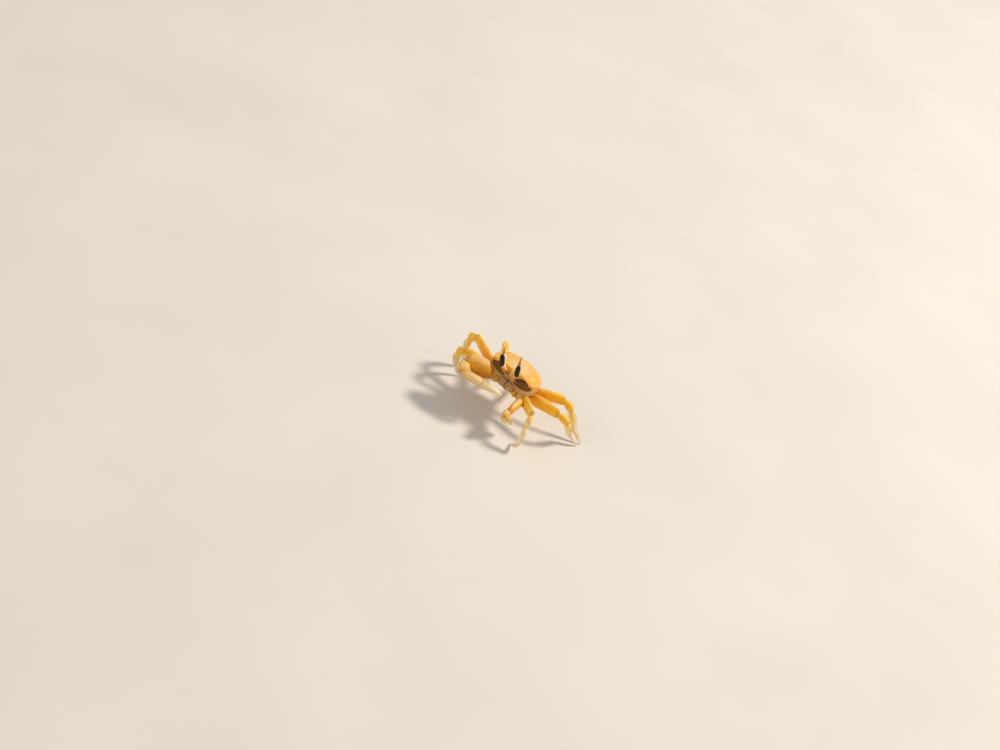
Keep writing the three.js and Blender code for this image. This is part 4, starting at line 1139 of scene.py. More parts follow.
class GHOSTCRAB_OT_underside(bpy.types.Operator):
    """Builds the breastplate, the limbs' root pieces, the folded tail and the frame of the mouth"""
    bl_idname = "ghostcrab.underside"
    bl_label = "Underside"

    def execute(self, context):
        plate = shaped_bar("breastplate", 110, 100, BODY, breast_surface)
        sculpt_breastplate(plate)
        finish_piece(plate, finish_of(under_cuticle), ["thorax"])
        roots = joined(coxa_pieces(), "limb_roots")
        finish_piece(roots, finish_of(leg_cuticle))
        tail = shaped_bar("tail_flap", 44, 150, BODY, tail_surface)
        ring = (painted(tail, "share") * TAIL_RINGS) % 1
        # Painted shade in the sunk steps between the tail's rings.
        paint(tail, "groove", np.maximum(bell(ring, 0, 0.07), bell(ring, 1, 0.07)))
        finish_piece(tail, finish_of(under_cuticle), ["pleon"])
        surround = copy_of("mouth_frame", "mouth_surround")
        remeshed(surround, 0.22, 6)
        height = in_body(points_of(surround))[:, 2]
        # Painted shade on the mouth's frame, strongest at its top, darkens the gaps between the frame and the
        # covers.
        paint(surround, "groove", 0.25 + 0.75 * ramp(height, MOUTH["top"] - 2.2, MOUTH["top"] - 0.8))
        finish_piece(surround, finish_of(mouth_cuticle), ["mouth_frame"])
        return {"FINISHED"}


# ---------------------------------------------------------------- mouthparts and feelers
def mouth_front(z):
    """How far forward the mouth's covers lie at a height, in the body's frame."""
    return MOUTH["y"] - 0.3 - MOUTH["lean"] * (z - MOUTH["bottom"])


def plate_surface(side, rows, thick, centre):
    """Thin curved plate between two heights: rows are (share, height, inner edge, outer edge)."""
    def surface(share, angle, edge):
        z, inner, outer = through(rows, share).T
        half, middle = (outer - inner) / 2, (outer + inner) / 2
        x = middle + np.cos(angle) * half * edge
        bulge = 0.55 * (1 - ((x - centre) / 3.6) ** 2)
        close = np.clip(np.minimum(share, 1 - share) / 0.05, 0, 1) ** 0.5
        sunk = 0.22 * bell(x, centre, 0.35) * (np.sin(angle) > 0)
        y = mouth_front(z) - bulge - (np.sin(angle) * thick - sunk) * close * edge
        return np.stack([side * x, y, z], axis=1)
    return surface


def palp_surface(side, start, end, radius):
    """One small bead-like piece of a palp between two points (off the middle, forward, height)."""
    def surface(share, angle, edge):
        wide = radius * np.clip(np.sin(np.pi * np.clip(share * 0.94 + 0.03, 0, 1)), 0.08, 1) ** 0.55
        axis = np.array(start) + (np.array(end) - np.array(start)) * share[:, None]
        x = axis[:, 0] + np.cos(angle) * wide * edge
        return np.stack([side * x, mouth_front(axis[:, 2]) - axis[:, 1] - np.sin(angle) * wide * 0.8 * edge,
                         axis[:, 2] + 0 * angle], axis=1)
    return surface


def mouth_covers(side):
    """Outer mouthparts of one side: long inner plate, short plate over it, side strip and jointed palp."""
    low, top = MOUTH["bottom"] + 0.5, MOUTH["top"] - 0.5
    step = low + (top - low) * 0.6
    lower = [(0, low, 1.9, 3.6), (0.12, low + 0.8, 0.9, 5.2), (0.5, low + 2.6, 0.45, 5.9),
             (0.92, step - 0.4, 0.4, 6.0), (1, step, 0.7, 5.6)]
    upper = [(0, step + 0.15, 0.8, 5.6), (0.12, step + 0.5, 0.5, 5.95), (0.55, top - 1.9, 0.9, 5.8),
             (0.85, top - 1.2, 1.7, 5.0), (1, top - 0.9, 2.8, 4.0)]
    strip = [(0, low + 0.8, 6.0, 6.7), (0.5, step - 1, 6.25, 7.2), (1, top - 0.4, 6.2, 6.9)]
    forms = [("plate", plate_surface(side, lower, 0.75, 3.2), 44, 40),
             ("plate", plate_surface(side, upper, 0.7, 3.3), 44, 30),
             ("strip", plate_surface(side, strip, 0.6, 6.6), 20, 40)]
    for start, end, radius in [((4.2, 0.95, top - 1.5), (2.6, 1.4, top - 0.8), 0.72),
                               ((2.6, 1.4, top - 0.8), (1.4, 1.7, top - 2.9), 0.66),
                               ((1.4, 1.65, top - 2.8), (1.0, 1.55, top - 5.1), 0.5)]:
        forms.append(("palp", palp_surface(side, start, end, radius), 20, 20))
    pieces = [shaped_bar(name, sides, rings, BODY, surface) for name, surface, sides, rings in forms]
    return joined(pieces, f"mouth_covers_{WORDS[side]}")


def feeler_surface(side):
    """Short feeler: two thick root pieces and a ringed whip."""
    rows = [(0, 2.7, -17.2, -4.9, 0.7), (0.14, 2.9, -17.9, -5.1, 1.1), (0.3, 3.4, -19.1, -5.4, 1.0),
            (0.34, 3.5, -19.4, -5.4, 0.7), (0.42, 3.7, -19.9, -5.2, 0.78), (0.52, 4.1, -20.7, -4.8, 0.62),
            (0.56, 4.25, -21, -4.6, 0.36), (0.78, 5.2, -22.2, -3.8, 0.26), (1, 6.9, -23.2, -3.6, 0.1)]

    def surface(share, angle, edge):
        x, y, z, radius = through(rows, share).T
        ringed = 1 + 0.12 * np.sin(share * 150) * ramp(share, 0.56, 0.6)
        return np.stack([side * x + np.cos(angle) * radius * ringed * edge, y,
                         z + np.sin(angle) * radius * ringed * edge], axis=1)
    return surface


class GHOSTCRAB_OT_mouthparts(bpy.types.Operator):
    """Builds the covers of the mouth, their palps and the feelers"""
    bl_idname = "ghostcrab.mouthparts"
    bl_label = "Mouthparts"

    def execute(self, context):
        for side, word in WORDS.items():
            covers = mouth_covers(side)
            off = np.abs(in_body(points_of(covers))[:, 0])
            # Painted shade along the sunk groove down each cover.
            paint(covers, "groove", 0.4 * bell(off, 3.25, 0.3))
            paint(covers, "rim", 0.7 * np.maximum(bell(off, 0.5, 0.5), bell(off, 5.9, 0.4)))
            finish_piece(covers, finish_of(mouth_cuticle), [f"maxilliped_{word}"])
            feeler = shaped_bar(f"feeler_{word}", 20, 90, BODY, feeler_surface(side))
            finish_piece(feeler, finish_of(mouth_cuticle), [f"antenna_{word}"])
        return {"FINISHED"}


# ---------------------------------------------------------------- eyes
def stalk_surface(side):
    """Eyestalk: a knuckle at the root, then a column behind the cornea that ends under the horn."""
    tall = EYE["stalk"]
    rows = [(0, -1.8, 0.3, 0.4, 2.3), (0.06, -1.5, 1.3, 0.4, 2.2), (0.14, -0.6, 1.95, 0.3, 2),
            (0.24, 0.9, 2.35, 0.2, 1.3), (0.34, 2.4, 1.95, 0.3, 0.5), (0.42, 3.8, 1.55, 0.8, 0.2),
            (0.8, tall - 3, 1.65, 1.0, 0.2), (0.92, tall - 0.8, 1.45, 0.6, 0),
            (0.98, tall + 0.1, 1.15, 0.4, 0), (1, tall + 0.2, 0.2, 0.4, 0)]

    def surface(share, angle, edge):
        z, radius, back, inward = through(rows, share).T
        crease = 0.16 * bell(z, 2.1, 0.35) + 0.1 * bell(z, -0.2, 0.3)
        wide = (radius - crease) * edge
        return np.stack([-side * inward + np.cos(angle) * wide, back + np.sin(angle) * wide, z], axis=1)
    return surface


def cornea_surface(side):
    """Cornea: a long upright bean on the front and outer side of the stalk."""
    half, wide = EYE["length"] / 2, EYE["width"] / 2
    middle = EYE["stalk"] - half - 0.2

    def surface(share, angle, edge):
        rise = -np.cos(np.pi * share)
        round_ = np.sqrt(np.clip(1 - rise ** 2, 0, 1)) ** 0.9
        waist = 1 - 0.05 * bell(rise, 0.05, 0.4)
        return np.stack([side * 0.45 + np.cos(angle) * wide * round_ * waist * edge,
                         -0.75 + 0.35 * rise ** 2 + np.sin(angle) * wide * round_ * waist * edge,
                         middle + half * rise], axis=1)
    return surface


def horn_surface(side):
    """Horn on top of the eye: a slim tapered spike with a swollen root."""
    bend = EYE_SWING[side]["bend"]
    rows = [(0, 0.4), (0.02, 1.05), (0.08, 1.2), (0.2, 1.0), (0.5, 0.66), (0.8, 0.4), (0.97, 0.17), (1, 0.03)]

    def surface(share, angle, edge):
        radius = through(rows, share)[:, 0] * edge
        return np.stack([bend * share ** 1.5 + np.cos(angle) * radius,
                         0.5 + 0.5 * share ** 2 + np.sin(angle) * radius,
                         EYE["stalk"] - 0.4 + share * EYE["horn"]], axis=1)
    return surface


class GHOSTCRAB_OT_eyes(bpy.types.Operator):
    """Builds the eyestalks, corneas and horns"""
    bl_idname = "ghostcrab.eyes"
    bl_label = "Eyes"

    def execute(self, context):
        for side, word in WORDS.items():
            place = eye_place(side)
            stalk = shaped_bar(f"eyestalk_{word}_column", 48, 90, place, stalk_surface(side))
            local = carried(place.inverted(), points_of(stalk))
            paint(stalk, "root", ramp(local[:, 2], 3.2, 1.8))
            paint(stalk, "rim", 0.8 * bell(local[:, 2], EYE["stalk"], 0.4))
            finish_piece(stalk, finish_of(stalk_cuticle), [f"eyestalk_{word}"])
            cornea = shaped_bar(f"cornea_{word}_bean", 64, 72, place, cornea_surface(side))
            local = carried(place.inverted(), points_of(cornea))
            paint(cornea, "rim", ramp(local[:, 1], 0.2, 1.3))
            finish_piece(cornea, finish_of(cornea_cuticle), [f"cornea_{word}"])
            horn = shaped_bar(f"horn_{word}_spike", 32, 60, place, horn_surface(side))
            local = carried(place.inverted(), points_of(horn))
            paint(horn, "tip", (local[:, 2] - EYE["stalk"]) / EYE["horn"])
            finish_piece(horn, finish_of(horn_cuticle), [f"horn_{word}"])
        return {"FINISHED"}


# ---------------------------------------------------------------- limbs
def scaly(x, angle, pitch, seed):
    """Short cross ridges in staggered rows, as on a crab's limbs: -1 to 1."""
    lanes = np.floor((angle + math.pi) / 0.42).astype(int)
    phase = np.random.default_rng(seed).uniform(0, 2 * math.pi, 16)[lanes % 16]
    across = np.abs(np.sin((angle + math.pi) / 0.42 * math.pi))
    return np.sin(2 * math.pi * x / pitch + phase) * across


def leg_relief(kind, seed):
    """Relief of a leg piece: crest on the upper margin, side furrows, cross ridges and an end collar."""
    def relief(t, angle, x):
        collar = 0.16 * bell(t, 0.955, 0.02) - 0.12 * bell(t, 0.915, 0.012)
        if kind == "dactyl":
            flutes = 0.13 * np.cos(6 * angle) * ramp(t, 0.08, 0.2) * ramp(t, 0.98, 0.75)
            return flutes + 0.1 * bell(t, 0.06, 0.02)
        if kind == "merus":
            crest = 0.34 * bent(angle, 90, 13) + 0.2 * bent(angle, -58, 12) + 0.2 * bent(angle, -122, 12)
            edges = np.maximum(bent(angle, 90, 50), bent(angle, -90, 25))
            scales = 0.055 * scaly(x, angle, 1.25, seed) * edges
            suture = -0.2 * bell(t, 0.145, 0.01)
            furrow = -0.1 * (bent(angle, 0, 10) + bent(angle, 180, 10)) * ramp(t, 0.2, 0.3)
            return (crest + scales) * ramp(t, 0.16, 0.26) + suture + furrow + collar
        ridges = 0.2 * bent(angle, 90, 16) + 0.13 * (bent(angle, 40, 12) + bent(angle, 140, 12))
        furrow = -0.13 * (bent(angle, 12, 11) + bent(angle, 168, 11)
                          + bent(angle, -35, 9) + bent(angle, -145, 9))
        scales = 0.04 * scaly(x, angle, 1.1, seed) * bent(angle, 90, 60)
        return (ridges + furrow + scales) * ramp(t, 0.06, 0.2) + collar
    return relief


# Rows of thorns on a limb piece: angle, start, end, count and height.
LEG_THORNS = {
    "merus": [(90, 0.24, 0.94, 13, 0.5), (-58, 0.78, 0.94, 4, 0.42), (-122, 0.78, 0.94, 4, 0.42)],
    "carpus": [(90, 0.42, 0.92, 4, 0.32)],
    "propodus": [(90, 0.12, 0.5, 4, 0.22)],
    "dactyl": [],
}
CLAW_PITCH = (0.9, 1.1)             # cross ridges of the hand and fingers, along and round
CLAW_THORNS = {
    "ischium": [],
    "merus": [(88, 0.26, 0.94, 13, 0.75), (-62, 0.24, 0.94, 14, 0.75), (-128, 0.34, 0.94, 11, 0.65)],
    "carpus": [(20, 0.68, 0.74, 1, 1.7), (74, 0.3, 0.92, 6, 0.55), (120, 0.4, 0.9, 4, 0.4),
               (10, 0.85, 0.92, 1, 0.7)],
}


def paint_limb(piece, place, start, end, length, depth, pitch=(0.5, 1.5)):
    """Marks how far out along the limb each point is, how near a joint and the upper crest, which takes a
    painted highlight, and where it lies
    on the skin: along the limb and round it, counted in cross ridges of `pitch` millimetres."""
    local = carried(place.inverted(), points_of(piece))
    t = local[:, 0] / length
    paint(piece, "reach", start + (end - start) * np.clip(t, 0, 1))
    paint(piece, "joint", np.maximum(ramp(t, 0.1, -0.02), ramp(t, 0.95, 1.01)))
    # Painted highlight band along the upper margin.
    paint(piece, "crest", ramp(local[:, 2] / depth, 0.28, 0.52))
    round_top = np.angle(np.exp(1j * (np.arctan2(local[:, 2], local[:, 1]) - math.pi / 2)))
    paint_vectors(piece, "weave", np.column_stack(
        [local[:, 0] / pitch[0], round_top * depth * 0.36 / pitch[1], np.zeros(len(t))]))


def knuckles(surface, place, depth):
    """The two hinge knobs at the far end of a limb piece."""
    made = []
    forward = ahead(place)
    for degrees in (4, 176):
        root, out = point_and_out(surface, place, 0.975, degrees)
        made.append((root - out * 0.2, out + forward * 0.3, forward, depth * 0.085 + 0.08,
                     depth * 0.035 + 0.22))
    return copies("knobs", "granule", *zip(*made), bead=0.2)


SKIN_BULGE = 3.2                    # furthest that joint skin bulges out of its cup


def membrane(place, length, half_up, half_side):
    """Soft cushion of joint skin in the cup at a piece's far end."""
    clear_selection()
    bpy.ops.mesh.primitive_uv_sphere_add(segments=28, ring_count=18, radius=1)
    piece = bpy.context.object
    raw = points_of(piece) * MM
    folds = 1 + 0.03 * np.cos(raw[:, 0] * 16)
    bulge = min(half_up * 0.85, SKIN_BULGE)
    shape = raw * np.array([bulge, half_side, half_up]) * folds[:, None] + np.array([length * 0.985, 0, 0])
    move_points(piece, carried(place, shape))
    return piece


def limb_piece(name, kind, place, size, reach, relief, thorns, seed, grain=(0.36, 44), cup=True):
    """One limb piece with its thorns and knobs. `size` is length, depth and thickness, `reach` is its start
    and end along the limb, and `grain` is the gap between its rings and how many sides they have."""
    length, depth, thick = size
    surface = limb_surface(kind, length, depth, thick, relief, cup)
    rings = int(min(max(length / grain[0], 40), 150))
    piece = shaped_bar(name, grain[1], rings, place, surface)
    extras = []
    rows = [found for i, row in enumerate(thorns) for found in thorn_row(surface, place, seed * 10 + i, *row)]
    if rows:
        extras.append(copies("thorns", "thorn", *zip(*rows)))
    if cup:
        extras.append(knuckles(surface, place, depth))
    piece = joined([piece, *extras], name)
    paint_limb(piece, place, *reach, length, depth)
    return piece


class GHOSTCRAB_OT_legs(bpy.types.Operator):
    """Builds the eight walking legs, piece by piece, with thorns, hinge knobs and joint skin"""
    bl_idname = "ghostcrab.legs"
    bl_label = "Walking legs"

    def execute(self, context):
        sizes = context.scene.ghostcrab_sizes
        skins = []
        for side, number in LEG_POSES:
            for kind, place, length, depth, thick, start, end in leg_pieces(side, number):
                node = f"leg_{WORDS[side]}_{number}_{kind}"
                seed = 100 + 10 * number + side + 40 * LEG_KINDS.index(kind)
                thorns = [(*row[:4], row[4] * sizes.thorn_height) for row in LEG_THORNS[kind]]
                pale = PALLOR.get((side, number), 0)
                start, end = (share + (1 - share) * pale for share in (start, end))
                piece = limb_piece(f"{node}_shell", kind, place, (length, depth, thick), (start, end),
                                   leg_relief(kind, seed), thorns, seed, cup=kind != "dactyl")
                if kind == "dactyl":
                    points = points_of(piece)
                    points[:, 2] = np.maximum(points[:, 2], 0)
                    move_points(piece, points)
                else:
                    _, up, _, wide = PROFILES[kind][-1]
                    skins.append(membrane(place, length, up * depth * 0.36, wide * thick * 0.4))
                finish_piece(piece, finish_of(leg_cuticle), [node])
        finish_piece(joined(skins, "leg_joint_skin"), finish_of(joint_membrane))
        return {"FINISHED"}


# ---------------------------------------------------------------- claws
def palm_rows(side):
    """Sections of the hand and its fixed finger: length, up, down, half thickness, lift."""
    (p, depth, thick, *_), (q, f) = CLAWS[side]["palm"], CLAWS[side]["finger"]
    d, t = depth / 2, thick / 2
    rows = [(-1.2, 0.2 * d, -0.2 * d, 0.3 * t), (-0.2, 0.46 * d, -0.46 * d, 0.66 * t),
            (p * 0.14, 0.66 * d, -0.66 * d, 0.8 * t), (p * 0.4, 0.94 * d, -0.9 * d, t), (p * 0.75, d, -d, t),
            (p * 0.94, 0.94 * d, -0.99 * d, 0.92 * t), (p * 0.985, 0.55 * d, -0.97 * d, 0.88 * t),
            (p, 0.1 * d, -0.96 * d, 0.86 * t), (p + q * 0.12, -0.2 * d, -0.93 * d, 0.76 * t),
            (p + q * 0.4, -0.82 * d + f * 0.72, -0.82 * d, 0.6 * t),
            (p + q * 0.75, -0.5 * d + f * 0.45, -0.5 * d, 0.4 * t),
            (p + q * 0.95, -0.2 * d + f * 0.16, -0.26 * d, 0.2 * t), (p + q, -0.1 * d, -0.16 * d, 0.06 * t)]
    return [(x, (top - low) / 2, (top - low) / 2, half, (top + low) / 2) for x, top, low, half in rows]


def finger_rows(side):
    """Sections of the moving finger, arched over the fixed one."""
    (_, depth, thick, *_), (q, deep) = CLAWS[side]["palm"], CLAWS[side]["finger"]
    d, f, t = depth / 2, deep / 2, thick / 2
    rows = [(-1.3, 0.3, 0.3, 0.34, 0.42), (-0.5, 0.72, 0.7, 0.62, 0.42), (1.2, 1, 1, 0.76, 0.46),
            (q * 0.35, 0.94, 0.86, 0.66, 0.62), (q * 0.7, 0.68, 0.6, 0.48, 0.52),
            (q * 0.9, 0.4, 0.36, 0.3, 0.24),
            (q * 0.99, 0.18, 0.16, 0.16, 0.1), (q * 1.02, 0.05, 0.05, 0.05, 0.06)]
    return [(x, up * f, down * f, half * t, lift * d) for x, up, down, half, lift in rows]


def claw_surface(rows, relief):
    """Surface through sections of length, up, down, half thickness and lift."""
    table = paced(rows, np.ones(5))
    ends = table[0, 1], table[-1, 1]

    def surface(share, angle, edge):
        x, up, down, half, lift = through(table, share).T
        fade = ramp(share, 0.01, 0.05) * ramp(share, 0.995, 0.96)
        y, z = oblong(angle, half, up, down, edge, relief(x, angle) * fade)
        return np.stack([x, y, z + lift], axis=1)

    surface.table = np.column_stack([table[:, 0], (table[:, 1] - ends[0]) / (ends[1] - ends[0])])
    return surface


def palm_relief(side):
    """Hand: ridged margins, a keel on each finger side and a hollow at the base of the fingers."""
    p, fine = CLAWS[side]["palm"][0], CLAWS[side]["fineness"]

    def relief(x, angle):
        on_palm, on_finger = ramp(x, p * 1.05, p * 0.95), ramp(x, p, p * 1.15)
        edges = 0.4 * (bent(angle, 90, 12) + bent(angle, -90, 12)) * on_palm * ramp(x, p * 0.08, p * 0.3)
        hollow = -0.35 * bell(x, p * 0.97, p * 0.07) * (bent(angle, 20, 26) + bent(angle, 160, 26))
        furrows = -0.3 * (bent(angle, -8, 13) + bent(angle, 188, 13)) * on_finger
        keel = 0.22 * bent(angle, -90, 16) * on_finger + 0.2 * bent(angle, 90, 14) * on_finger
        grain = 0.05 * np.sin(2.3 * x) * np.sin(9 * angle) * on_palm
        return (edges + hollow + furrows + keel + grain) * fine
    return relief


def finger_relief(side):
    """Moving finger: keels along it with furrows between them."""
    (q, _), fine = CLAWS[side]["finger"], CLAWS[side]["fineness"]

    def relief(x, angle):
        furrows = -0.26 * (bent(angle, 12, 13) + bent(angle, 168, 13)) * ramp(x, 0.1 * q, 0.25 * q)
        keels = (0.24 * bent(angle, 90, 15) + 0.2 * bent(angle, -90, 14)
                 + 0.12 * (bent(angle, 45, 10) + bent(angle, 135, 10)))
        return (furrows + keels * ramp(x, 0.05 * q, 0.2 * q)) * fine
    return relief


def arm_relief(kind, fine, seed):
    """Arm and wrist: three ridged margins on the arm, cross ridges and a collar at the far end."""
    def relief(t, angle, x):
        collar = 0.22 * bell(t, 0.95, 0.02) - 0.14 * bell(t, 0.905, 0.014)
        scales = 0.07 * scaly(x, angle, 1.6, seed)
        ridges = 0.0
        if kind == "merus":
            ridges = 0.55 * bent(angle, 88, 13) + 0.5 * bent(angle, -62, 13) + 0.45 * bent(angle, -128, 13)
        elif kind == "carpus":
            ridges = 0.25 * bent(angle, 74, 14) + 0.2 * bent(angle, 120, 12) + 0.3 * bent(angle, 20, 14)
        return ((ridges + scales) * ramp(t, 0.08, 0.25) + collar) * fine
    return relief


def cutting_teeth(surface, place, degrees, start, end, count, height, seed):
    """Blunt teeth of uneven size along a finger's cutting edge."""
    draw = np.random.default_rng(seed)
    forward = ahead(place)
    found = []
    for i in range(count):
        t = start + (end - start) * (i + 0.5) / count
        root, out = point_and_out(surface, place, t, degrees)
        big = 1.35 if i % 4 == 1 else draw.uniform(0.6, 1.0)
        tall = height * big * (1 - 0.45 * i / count)
        found.append((root - out * 0.1, out, forward, 0.3 * height + 0.34 * tall, tall))
    return found


def hand_granules(piece, place, side):
    """Granules of the hand: coarse over its outer face, finer inside."""
    (p, depth, *_), fine = CLAWS[side]["palm"], CLAWS[side]["fineness"]
    inverse, outer = place.inverted(), np.array(place.to_3x3())[:, 1]

    def wanted(middles, outs):
        x = carried(inverse, middles)[:, 0]
        outside = 0.2 + 0.8 * ramp(-(outs @ outer), -0.1, 0.4)
        return outside * ramp(x, p * 0.05, p * 0.2) * ramp(x, p * 1.6, p * 1.0)

    roots, outs, draw = scattered(piece, 60 + side, 760 if fine == 1 else 420, 0.62 * fine + 0.08, wanted)
    low = carried(inverse, roots)[:, 2] / depth
    radii = fine * (0.17 + 0.14 * ramp(-low, -0.1, 0.45)) * draw.uniform(0.7, 1.15, len(roots))
    return copies("granules", "granule", roots, outs, [ahead(place)] * len(roots), radii, radii * 0.8, 0.75)


def rasp(surface, place, side):
    """Row of fine bars on the inner face of the hand, rubbed to make sound."""
    p = CLAWS[side]["palm"][0]
    up = np.array(place.to_3x3() @ Vector((0, 0, 1)))
    found = []
    for degrees in np.linspace(-34, 34, 22):
        root, out = point_and_out(surface, place, 0.8 * p / (p + CLAWS[side]["finger"][0]), degrees)
        found.append((root, out, up, 0.17, 0.28))
    return copies("rasp", "granule", *zip(*found), bead=0.2)


# Pieces of a claw's arm, with their start and end along the claw's colours.
ARM_PIECES = (("ischium", 0, 0.1), ("merus", 0.1, 0.42), ("carpus", 0.42, 0.58))


def arm_granules(piece, place, seed, fine, reach):
    """Granules all over a piece of the arm."""
    roots, outs, draw = scattered(piece, seed, int(340 * fine), 0.7 * fine + 0.1, lambda middles, outs: 1.0)
    radii = draw.uniform(0.13, 0.24, len(roots)) * fine
    spots = copies("granules", "granule", roots, outs, [ahead(place)] * len(roots), radii, radii * 0.7, 0.6)
    paint(spots, "reach", reach)
    return joined([piece, spots], piece.name)


def claw_arm(side, places, thorn_height):
    """The three pieces of a claw's arm, and the skin of their joints."""
    fine = CLAWS[side]["fineness"]
    skins = []
    for kind, start, end in ARM_PIECES:
        length, depth, thick, *_ = CLAWS[side][kind]
        place, seed = places[kind], 300 + 7 * len(kind) + side
        thorns = [(*row[:4], row[4] * fine * thorn_height) for row in CLAW_THORNS[kind]]
        piece = limb_piece(f"claw_{WORDS[side]}_{kind}_shell", "propodus" if kind == "merus" else "carpus",
                           place, (length, depth, thick), (start, end), arm_relief(kind, fine, seed), thorns,
                           seed, grain=(0.26 * fine + 0.08, 84))
        if kind != "ischium":
            piece = arm_granules(piece, place, seed + 5, fine, (start + end) / 2)
        skins.append(membrane(place, length, depth * 0.33, thick * 0.35))
        finish_piece(piece, finish_of(claw_cuticle), [f"claw_{WORDS[side]}_{kind}"])
    return skins


def claw_hand(side, place):
    """Hand with its fixed finger, thorns, cutting teeth and granules, and the rasp of the large claw."""
    fine = CLAWS[side]["fineness"]
    (p, depth, *_), (q, _) = CLAWS[side]["palm"], CLAWS[side]["finger"]
    whole = p + q
    face = claw_surface(palm_rows(side), palm_relief(side))
    name = f"claw_{WORDS[side]}_palm"
    hand = shaped_bar(f"{name}_shell", int(60 + 60 * fine), int(90 + 60 * fine), place, face)
    thorns = (thorn_row(face, place, 401, 90, p * 0.14 / whole, p * 0.9 / whole, 12, 0.55 * fine)
              + thorn_row(face, place, 402, -90, p * 0.12 / whole, (p + q * 0.3) / whole, 22, 0.5 * fine))
    teeth = cutting_teeth(face, place, 90, (p + q * 0.14) / whole, (p + q * 0.94) / whole, 13,
                          0.75 * fine, 403)
    extras = [copies("thorns", "thorn", *zip(*thorns)), copies("teeth", "granule", *zip(*teeth)),
              hand_granules(hand, place, side)]
    if fine == 1:
        extras.append(rasp(face, place, side))
    hand = joined([hand, *extras], hand.name)
    paint_limb(hand, place, 0.58, 1.0, whole, depth, CLAW_PITCH)
    finish_piece(hand, finish_of(claw_cuticle), [name])


def claw_finger(side, place):
    """Moving finger with its thorns and cutting teeth."""
    fine = CLAWS[side]["fineness"]
    length, depth = CLAWS[side]["finger"]
    face = claw_surface(finger_rows(side), finger_relief(side))
    name = f"claw_{WORDS[side]}_finger"
    finger = shaped_bar(f"{name}_shell", int(44 + 30 * fine), int(70 + 40 * fine), place, face)
    teeth = cutting_teeth(face, place, -90, 0.16, 0.94, 13, 0.75 * fine, 404)
    thorns = thorn_row(face, place, 405, 90, 0.08, 0.5, 9, 0.36 * fine)
    finger = joined([finger, copies("teeth", "granule", *zip(*teeth)),
                     copies("thorns", "thorn", *zip(*thorns))], finger.name)
    paint_limb(finger, place, 0.8, 1.0, length, depth, CLAW_PITCH)
    finish_piece(finger, finish_of(claw_cuticle), [name])


class GHOSTCRAB_OT_claws(bpy.types.Operator):
    """Builds the large right claw and the small left claw, with their teeth, thorns and granules"""
    bl_idname = "ghostcrab.claws"
    bl_label = "Claws"

    def execute(self, context):
        for side, word in WORDS.items():
            places = claw_places(side)
            skins = claw_arm(side, places, context.scene.ghostcrab_sizes.thorn_height)
            claw_hand(side, places["palm"])
            claw_finger(side, places["finger"])
            finish_piece(joined(skins, f"claw_{word}_joint_skin"), finish_of(joint_membrane))
        return {"FINISHED"}


# ---------------------------------------------------------------- bristles
BARE_FOOT = 1.5                     # height below which a foot has no bristles
# Rows of bristles on a leg piece: angle, spread of the angle, start, end, count, length.
FRINGES = {
    "merus": [(-58, 6, 0.3, 0.95, 50, 0.9), (-122, 6, 0.3, 0.95, 50, 0.9)],
    "carpus": [(90, 12, 0.3, 0.95, 40, 0.9)],
    "propodus": [(90, 14, 0.15, 0.96, 110, 1.2), (-90, 16, 0.1, 0.96, 110, 1.4),
                 (20, 24, 0.3, 0.95, 90, 1.1)],
    "dactyl": [(90, 10, 0.04, 0.85, 100, 1.0), (-90, 10, 0.04, 0.85, 100, 1.0), (0, 10, 0.05, 0.7, 70, 0.8),
               (180, 10, 0.05, 0.7, 70, 0.8)],
}


def leg_bristles(side, density):
    """Fringes on the margins of one side's legs."""
    roots, outs, leans, lengths, spots = [], [], [], [], []
    for number in (1, 2, 3, 4):
        for index, (kind, place, length, depth, thick, _, _) in enumerate(leg_pieces(side, number)):
            surface = limb_surface(kind, length, depth, thick, leg_relief(kind, 1), kind != "dactyl")
            draw = np.random.default_rng(900 + 10 * number + index + 100 * (side > 0))
            forward = ahead(place)
            small = 0.75 if number == 4 else 1.0
            for angle, wide, start, end, count, long in FRINGES[kind]:
                for t in draw.uniform(start, end, int(count * density * small)):
                    degrees = angle + draw.normal(0, wide)
                    root, out = point_and_out(surface, place, t, degrees)
                    if root[2] < BARE_FOOT:
                        continue
                    out = out + forward * 0.35 + draw.normal(0, 0.12, 3)
                    roots.append(root)
                    outs.append(out / np.linalg.norm(out))
                    leans.append(forward)
                    shorter = 1 - 0.4 * (kind == "dactyl") * t
                    lengths.append(long * small * draw.uniform(0.55, 1.15) * shorter)
                    spots.append((0.02 + 0.24 * (number - 1) + 0.2 * t,
                                  0.02 + 0.24 * index + 0.2 * ((degrees + 180) % 360) / 360))
    return bristles(f"leg_bristles_{WORDS[side]}", roots, outs, leans, lengths, 0.036, spots)


def mouth_bristles(density):
    """Fringe along the inner edges of the mouth's covers and round their palps."""
    draw = np.random.default_rng(77)
    roots, outs, leans, lengths, spots = [], [], [], [], []
    down = BODY_TURN @ (0, -0.35, -1)
    for side in (1, -1):
        inward = BODY_TURN @ (-side * 0.5, -1, -0.2)
        for _ in range(int(190 * density)):
            z = draw.uniform(MOUTH["bottom"] + 1, MOUTH["top"] - 1)
            off = draw.choice([0.6, 1.2, 5.9]) + draw.normal(0, 0.12)
            root = BODY @ Vector((side * off, mouth_front(z) - 1.0, z))
            out = inward + draw.normal(0, 0.2, 3)
            roots.append(np.array(root))
            outs.append(out / np.linalg.norm(out))
            leans.append(down)
            lengths.append(draw.uniform(0.6, 1.2))
            spots.append((0.5 + side * (0.05 + off * 0.06), 0.1 + 0.8 * (z - MOUTH["bottom"]) / 10))
    return bristles("mouth_bristles", roots, outs, leans, lengths, 0.04, spots)


